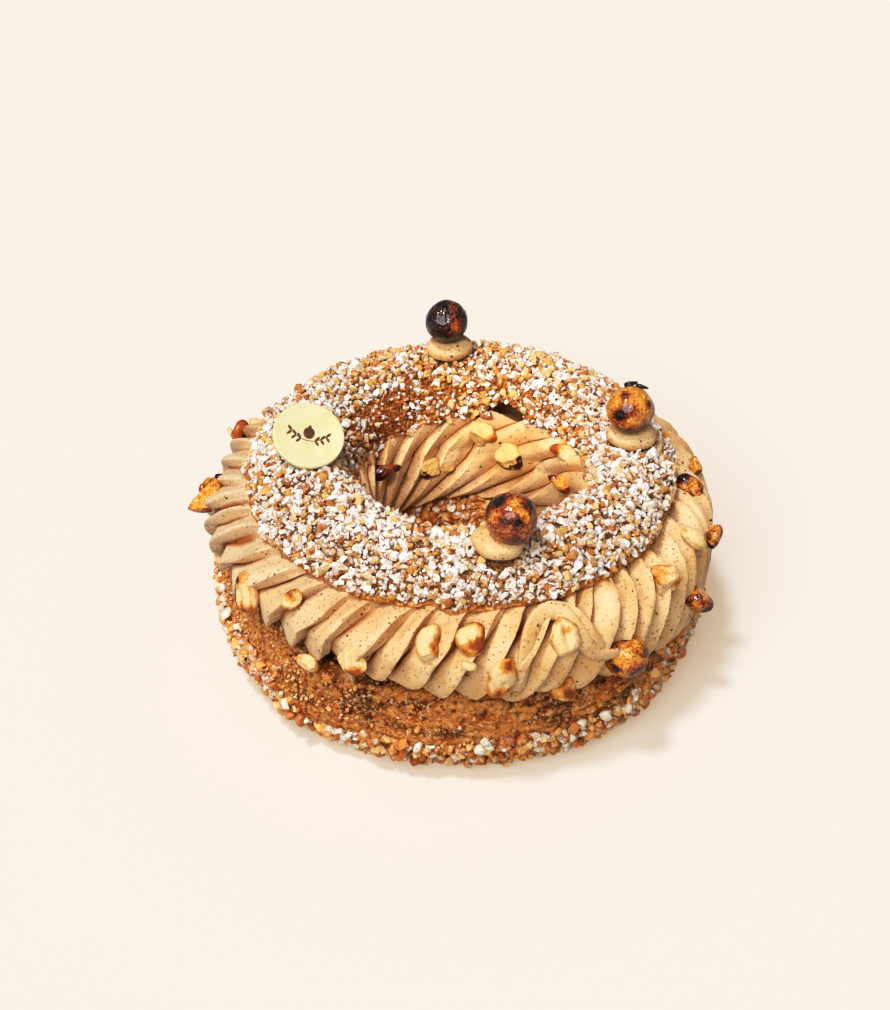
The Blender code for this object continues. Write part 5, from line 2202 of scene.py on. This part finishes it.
# Outside from the left to the right, then in the hole, then loose bits beside these.
SET_NUTS = (
    SetNut(
        "chunk_left_back", (8.6, 9.4, 6.0), waves=((3, 0.16, 90.0),), cuts=((200, 10, 0.72),),
        patches=((-2.0, 0.5, 2.2, 0.45), (1.0, 3.2, 2.2, 0.6), (3.0, 1.0, 1.6, 0.5)),
        skins=((0.9, -1.6, 2.1, 1.1), (1.8, 0.2, 1.4, 0.8)), toast=0.42,
        hollow=(0.3, -0.35, 0.42, 0.6, 0.95), face=0.7, side=Side.FORWARD,
    ),
    SetNut(
        "half_left_front", (12.0, 8.2, 6.6), turn=124, waves=((3, 0.06, 0.0),),
        patches=((2.4, -2.8, 2.0, 0.6), (-2.8, 2.0, 2.0, 0.5)),
        skins=(
            (-4.0, 0.6, 1.7, 1.1), (-3.4, -2.2, 1.9, 1.2), (-1.6, -4.6, 1.9, 1.2),
            (1.2, -6.0, 1.8, 1.1), (-2.4, 3.4, 1.2, 0.9),
        ),
        hollow=(0.0, 0.1, 0.5, 0.3, 0.3), face=0.66,
    ),
    SetNut(
        "chip_left_front", (5.4, 6.4, 4.2), waves=((2, 0.08, 60.0),), cuts=((0, 30, 0.7),),
        patches=((-1.5, 1.8, 1.6, 0.7), (0.4, 0.2, 1.4, 0.35)), toast=0.2,
        hollow=(0.3, -0.2, 0.4, 0.4, 0.25), face=0.8,
    ),
    SetNut(
        "chip_front_left", (6.8, 5.4, 4.2), turn=-18, waves=((3, 0.1, 200.0),),
        cuts=((80, 20, 0.66),), patches=((1.8, -1.2, 1.2, 0.4),), toast=0.04,
        hollow=(-0.1, 0.2, 0.5, 0.3, 0.3), face=0.8,
    ),
    SetNut(
        "chunk_front_left", (9.0, 8.4, 5.8), waves=((3, 0.15, 100.0), (5, 0.08, 20.0)),
        cuts=((45, 35, 0.52), (230, 20, 0.66), (150, 40, 0.6)),
        patches=((1.2, -1.6, 2.2, 0.75), (3.2, -2.0, 1.6, 0.6), (-2.6, -0.2, 1.2, 0.2)), toast=0.04,
    ),
    SetNut(
        "half_front_slim", (7.0, 10.3, 5.4),
        waves=((2, 0.05, 90.0), (3, 0.1, -62.0), (4, 0.05, 50.0)), cuts=((-82, 15, 0.82),),
        patches=((1.9, -0.6, 1.5, 0.75), (2.6, 1.6, 1.1, 0.55), (1.6, -2.6, 1.1, 0.35)), toast=0.02,
        hollow=(0.55, -0.1, 0.3, 0.26, 0.28),
    ),
    SetNut(
        "half_front_gold", (8.3, 9.2, 5.6), waves=((3, 0.09, 52.0), (2, 0.04, 60.0)),
        patches=(
            (-0.6, -2.8, 1.5, 0.6), (1.6, -2.4, 1.5, 0.65), (3.4, -1.2, 1.6, 0.75),
            (4.2, 1.2, 1.4, 0.6), (-0.6, 5.0, 1.8, 0.6), (2.4, 3.6, 1.4, 0.4),
        ),
        hollow=(-0.05, 0.1, 0.3, 0.3, 0.14),
    ),
    SetNut(
        "half_front_low", (8.2, 14.4, 6.2), turn=-10, waves=((2, 0.04, 90.0), (5, 0.03, 10.0)),
        cuts=((-80, 20, 0.86),),
        patches=(
            (0.2, -2.6, 2.6, 0.62), (-1.6, -3.6, 1.8, 0.4), (1.8, -1.6, 1.2, 0.4),
            (1.4, 5.8, 1.5, 0.8), (-3.6, 1.6, 1.0, 0.4),
        ),
        toast=0.02, hollow=(0.1, 0.06, 0.22, 0.14, 0.2),
    ),
    SetNut(
        "half_front_wide", (8.7, 10.4, 5.8),
        waves=((5, 0.05, 30.0), (7, 0.035, 80.0), (3, 0.04, 90.0)),
        patches=(
            (0.2, 1.4, 1.5, 0.34), (0.3, -3.2, 1.5, 0.22), (4.4, 4.0, 1.7, 0.9),
            (3.0, 5.6, 1.5, 0.8),
        ),
        toast=0.0, hollow=(-0.02, 0.22, 0.22, 0.5, 0.5), face=0.74,
    ),
    SetNut(
        "wedge_front", (8.2, 8.4, 5.2), waves=((3, 0.2, 68.0),),
        cuts=((-20, 30, 0.48), (-90, 0, 0.75)),
        patches=((0.6, -0.6, 1.6, 0.5), (2.0, -1.6, 1.4, 0.55), (-1.0, 2.2, 1.2, 0.4)),
        skins=((-1.4, 3.4, 0.9, 0.8),), toast=0.42, side=Side.FORWARD,
    ),
    SetNut(
        "chunk_right_front", (9.4, 9.2, 6.4), turn=8, waves=((4, 0.07, 40.0), (3, 0.08, 250.0)),
        cuts=((70, 50, 0.5), (-60, 28, 0.5), (200, 22, 0.7), (10, 20, 0.74)),
        patches=((-1.0, 2.4, 2.6, 0.34), (3.2, -0.6, 1.5, 0.4), (-3.2, 0.6, 1.2, 0.4)), toast=0.3,
        side=Side.FORWARD,
    ),
    SetNut(
        "half_right", (5.8, 8.8, 5.4), turn=14, waves=((3, 0.05, 90.0),),
        patches=((1.0, -2.2, 1.8, 0.7),), skins=((1.8, -2.8, 1.5, 1.1), (2.7, -0.8, 1.0, 0.9)),
        toast=-0.1, shift=(1.6, 0.0, 1.5),
    ),
    SetNut(
        "hole_chunk_back", (8.9, 8.3, 5.6), turn=-12, waves=((3, 0.16, 5.0), (5, 0.09, 60.0)),
        cuts=((100, 40, 0.5), (240, 30, 0.56)),
        patches=((3.4, -0.8, 1.7, 0.5), (0.6, -1.6, 1.3, 0.25)), toast=0.06,
        hollow=(0.1, 0.2, 0.3, 0.3, 0.3), side=Side.HOLE,
    ),
    SetNut(
        "hole_half_back", (9.8, 9.4, 6.4), waves=((5, 0.06, 40.0), (3, 0.07, 80.0)),
        cuts=((110, 45, 0.62),), patches=((-2.6, -1.6, 1.8, 0.4),),
        skins=(
            (-2.6, -3.8, 1.9, 1.2), (0.6, -4.4, 2.0, 1.2), (3.8, -1.8, 1.8, 1.2),
            (4.4, 1.2, 1.4, 1.1),
        ),
        toast=0.02, hollow=(0.3, -0.3, 0.4, 0.3, 0.3), face=0.85, side=Side.HOLE,
    ),
    SetNut(
        "hole_chunk_left", (8.6, 7.4, 5.6), waves=((4, 0.08, 45.0),),
        cuts=((80, 45, 0.5), (20, 20, 0.66)),
        skins=(
            (-2.8, -1.6, 1.6, 1.2), (-0.4, -2.8, 1.6, 1.2), (2.8, -1.8, 1.3, 1.1),
            (-2.6, 0.8, 1.1, 0.7),
        ),
        toast=0.02, side=Side.HOLE,
    ),
    SetNut(
        "hole_shell_right", (9.6, 5.6, 4.8), turn=-34, waves=((3, 0.08, 180.0),),
        patches=((-3.2, 1.8, 1.6, 0.8), (-3.0, 0.0, 1.0, 0.5)), hollow=(0.0, 0.3, 0.6, 0.3, 0.5),
        face=0.75, bend=-0.05, side=Side.FORWARD,
    ),
    SetNut(
        "hole_half_back", (3.4, 3.0, 2.4), turn=20, waves=((3, 0.12, 0.0),), cuts=((60, 40, 0.5),),
        toast=0.3, side=Side.HOLE, shift=(-7.6, 2.8, -1.0), bit="hole_crumb_back",
    ),
    SetNut(
        "hole_chunk_left", (4.4, 3.8, 2.8), turn=-30, waves=((3, 0.14, 20.0),),
        cuts=((90, 40, 0.55),), side=Side.HOLE, shift=(5.8, -1.4, 0.8), bit="hole_crumb_left",
    ),
    SetNut(
        "half_front_gold", (4.2, 3.2, 2.2), turn=-20, waves=((2, 0.1, 0.0),), cuts=((90, 30, 0.6),),
        toast=0.0, shift=(-0.6, -7.2, -0.6), bit="leaf_front",
    ),
    SetNut(
        "chunk_left_back", (4.6, 3.8, 3.0), turn=10, waves=((3, 0.12, 0.0),), cuts=((60, 30, 0.6),),
        toast=0.18, side=Side.FORWARD, shift=(4.0, 4.4, -2.0), bit="chip_left_top",
    ),
    SetNut(
        "chunk_left_back", (1.8, 3.6, 1.6), turn=24, waves=((2, 0.1, 90.0),), toast=0.05,
        side=Side.FORWARD, shift=(-4.0, 1.4, -1.6), bit="sliver_left",
    ),
)

# Caramel-coated pieces, each before the crumbs and scraps that lie on it.
CARAMEL_BITS = (
    SetNut(
        "half_left", (12.6, 7.6, 8.0), turn=48, waves=((2, 0.03, 0.0),),
        patches=((3.0, -3.2, 1.8, 0.36), (4.6, 0.6, 1.5, 0.5), (0.4, -5.2, 1.6, 0.36)), toast=-0.06,
        hollow=(-0.1, 0.35, 0.6, 0.35, 0.55), face=0.9, bend=0.055, side=Side.FORWARD,
        shift=(1.1, 0.4, 2.0),
    ),
    SetNut(
        "half_left", (3.4, 3.8, 3.0), turn=30, waves=((3, 0.1, 0.0),), cuts=((40, 30, 0.6),),
        toast=0.95, side=Side.FORWARD, shift=(5.0, 6.0, 1.2), bit="dark_crumb_left",
    ),
    SetNut(
        "half_left", (3.2, 3.0, 2.4), waves=((3, 0.15, 90.0),), cuts=((120, 30, 0.6),), toast=0.12,
        side=Side.FORWARD, shift=(1.2, 5.0, 1.2), bit="lobe_left_upper",
    ),
    SetNut(
        "half_left", (2.6, 3.0, 2.2), turn=40, waves=((3, 0.12, 60.0),), toast=0.34,
        side=Side.FORWARD, shift=(-0.4, 3.0, 1.4), bit="lobe_left_lower",
    ),
    SetNut(
        "caramel_chunk_low", (8.6, 8.0, 7.4), turn=-15, waves=((3, 0.12, 100.0), (4, 0.06, 0.0)),
        cuts=((60, 20, 0.66), (-100, 20, 0.7)),
        patches=(
            (3.0, 0.0, 1.6, 0.3), (2.6, -2.6, 1.6, 0.3), (-1.0, 1.4, 1.2, 0.2),
            (-2.8, -1.0, 1.2, 0.3),
        ),
        toast=0.28, side=Side.FORWARD,
    ),
    SetNut(
        "caramel_chunk_mid", (5.2, 7.4, 4.8), turn=-12, waves=((3, 0.12, 40.0),),
        cuts=((120, 20, 0.6),), patches=((1.2, -3.0, 1.4, 0.7), (-1.4, 0.8, 1.0, 0.4)), toast=0.2,
        side=Side.FORWARD,
    ),
    SetNut(
        "caramel_chunk_rim", (10.0, 7.6, 6.0), turn=-40, waves=((2, 0.03, 0.0), (5, 0.04, 0.0)),
        patches=(
            (-3.4, 2.6, 1.9, 0.5), (-1.2, 3.4, 1.5, 0.4), (4.2, -1.0, 1.4, 0.4),
            (0.0, -3.6, 1.4, 0.4), (1.4, -0.8, 0.8, 0.2),
        ),
        toast=0.16, hollow=(0.1, 0.0, 0.35, 0.3, 0.2), side=Side.FORWARD, shift=(-2.4, 1.4, 0.0),
    ),
    SetNut(
        "caramel_chip_rim", (4.0, 5.6, 3.2), turn=6, waves=((3, 0.14, 90.0),),
        cuts=((190, 30, 0.6),), patches=((0.8, -1.8, 1.0, 0.4),), toast=0.06, side=Side.FORWARD,
    ),
    SetNut(
        "hole_chip_right", (7.8, 4.8, 4.4), turn=-28, waves=((3, 0.2, 180.0),),
        cuts=((60, 40, 0.5),), patches=((1.8, -1.0, 1.4, 0.35), (-2.6, 1.4, 1.0, 0.4)), toast=0.08,
        side=Side.FORWARD,
    ),
    SetNut(
        "hole_shard_left", (12.0, 5.4, 4.2), turn=4, waves=((3, 0.2, -100.0),),
        cuts=((88, 20, 0.5),), patches=((-2.0, 0.6, 2.0, 0.3),), toast=0.6, side=Side.FORWARD,
        shift=(-1.8, 0.4, 0.8),
    ),
    SetNut(
        "chip_front_left", (4.4, 5.2, 4.2), waves=((2, 0.06, 90.0),),
        patches=((0.6, -1.4, 1.0, 0.4), (-1.4, 0.0, 0.8, 0.4)), toast=0.06, shift=(4.4, -6.0, -1.6),
        bit="amber_drop",
    ),
    SetNut(
        "hazelnut_right", (4.2, 1.6, 2.6), turn=12, waves=((3, 0.12, 0.0),), toast=1.0,
        side=Side.FORWARD, shift=(0.0, 7.5, 0.4), bit="char_top",
    ),
    SetNut(
        "hazelnut_right", (4.0, 1.3, 2.2), turn=-14, waves=((3, 0.1, 0.0),), toast=1.0,
        side=Side.FORWARD, shift=(3.3, 6.7, 0.2), bit="char_top_right",
    ),
)

WHOLE_NUTS = (
    WholeNut(
        "hazelnut_back", seed=1, burn=0.8, lumps=0.034,
        patches=((0.35, 0.5, 0.35, -0.2), (0.42, -0.35, 0.34, -0.5), (-0.2, 0.2, 0.2, -0.2)),
    ),
    WholeNut(
        "hazelnut_right", seed=2, burn=0.12, lumps=0.018,
        patches=(
            (-0.54, -0.27, 0.26, 0.95), (-0.12, -0.10, 0.30, 0.5), (-0.27, 0.56, 0.24, 0.5),
            (0.70, 0.20, 0.2, 0.6), (-0.45, -0.85, 0.28, 0.55), (0.0, -0.97, 0.32, 0.75),
            (0.5, -0.82, 0.30, 0.85), (0.93, -0.35, 0.26, 0.85), (0.95, 0.2, 0.16, 0.5),
        ),
    ),
    WholeNut(
        "hazelnut_front", seed=3, burn=0.46, lumps=0.02,
        patches=(
            (0.19, -0.13, 0.18, 0.95), (-0.5, 0.64, 0.24, 0.75), (0.80, 0.5, 0.30, 0.6),
            (0.1, 0.56, 0.26, -0.25), (0.42, 0.16, 0.22, -0.3), (-0.7, 0.0, 0.22, -0.2),
            (0.48, -0.5, 0.3, -0.22), (0.1, -0.92, 0.34, 0.4), (-0.35, -0.1, 0.2, 0.2),
            (-0.9, 0.35, 0.25, 0.3),
        ),
    ),
    WholeNut(
        "hazelnut_side", seed=4, burn=0.2, lumps=0.04,
        patches=(
            (-0.6, -0.5, 0.22, 0.9), (0.45, -0.6, 0.4, 0.4), (-0.85, -0.1, 0.25, 0.35),
            (0.8, 0.3, 0.3, 0.4), (-0.1, 0.85, 0.22, 0.5),
        ),
    ),
)


@dataclass
class Pastry:
    """The whole pastry."""

    crown: Crown

    def build(self) -> None:
        """Build every piece in order."""
        soft = CreamFinish().build()
        cream = PipedCream(self.crown)
        cream.build(soft)
        disc = Disc()
        topping = Topping(self.crown, disc)
        topping.build_base(*ChouxBase(self.crown).build())
        topping.build_lid(*ChouxLid(self.crown).build())
        flesh = NutFinish("toasted_nut").build()
        # Painted shade: a darker copy of the nut finish for the nuts in the hole, which the hole
        # lamp lights strongly.
        shaded_hole_flesh = NutFinish(
            "shaded_nut_in_hole", flesh=paint(212, 172, 112), gold=paint(196, 126, 48)
        ).build()
        for nut in SET_NUTS:
            nut.build(cream, shaded_hole_flesh if nut.side is Side.HOLE else flesh, Slot.NUT)
        caramel = CaramelFinish().build()
        for nut in CARAMEL_BITS:
            nut.build(cream, caramel, Slot.CARAMEL)
        for whole in WHOLE_NUTS:
            whole.build(caramel)
        for strand in JOIN_STRANDS:
            strand.build(self.crown, soft)
        for seed, node in enumerate(DOLLOPS, 1):
            Dollop(node, seed).build(soft)
        disc.build()
        disc.build_sprig()


def main() -> None:
    """Build the pastry and the studio."""
    logging.basicConfig(level=logging.INFO, format="%(message)s")
    crown = Crown.from_frame()
    Studio(crown).build()
    Pastry(crown).build()
    sizes = {"cad": CAD_BOX, "visual": [list(corner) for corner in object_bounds()]}


if __name__ == "__main__":
    main()
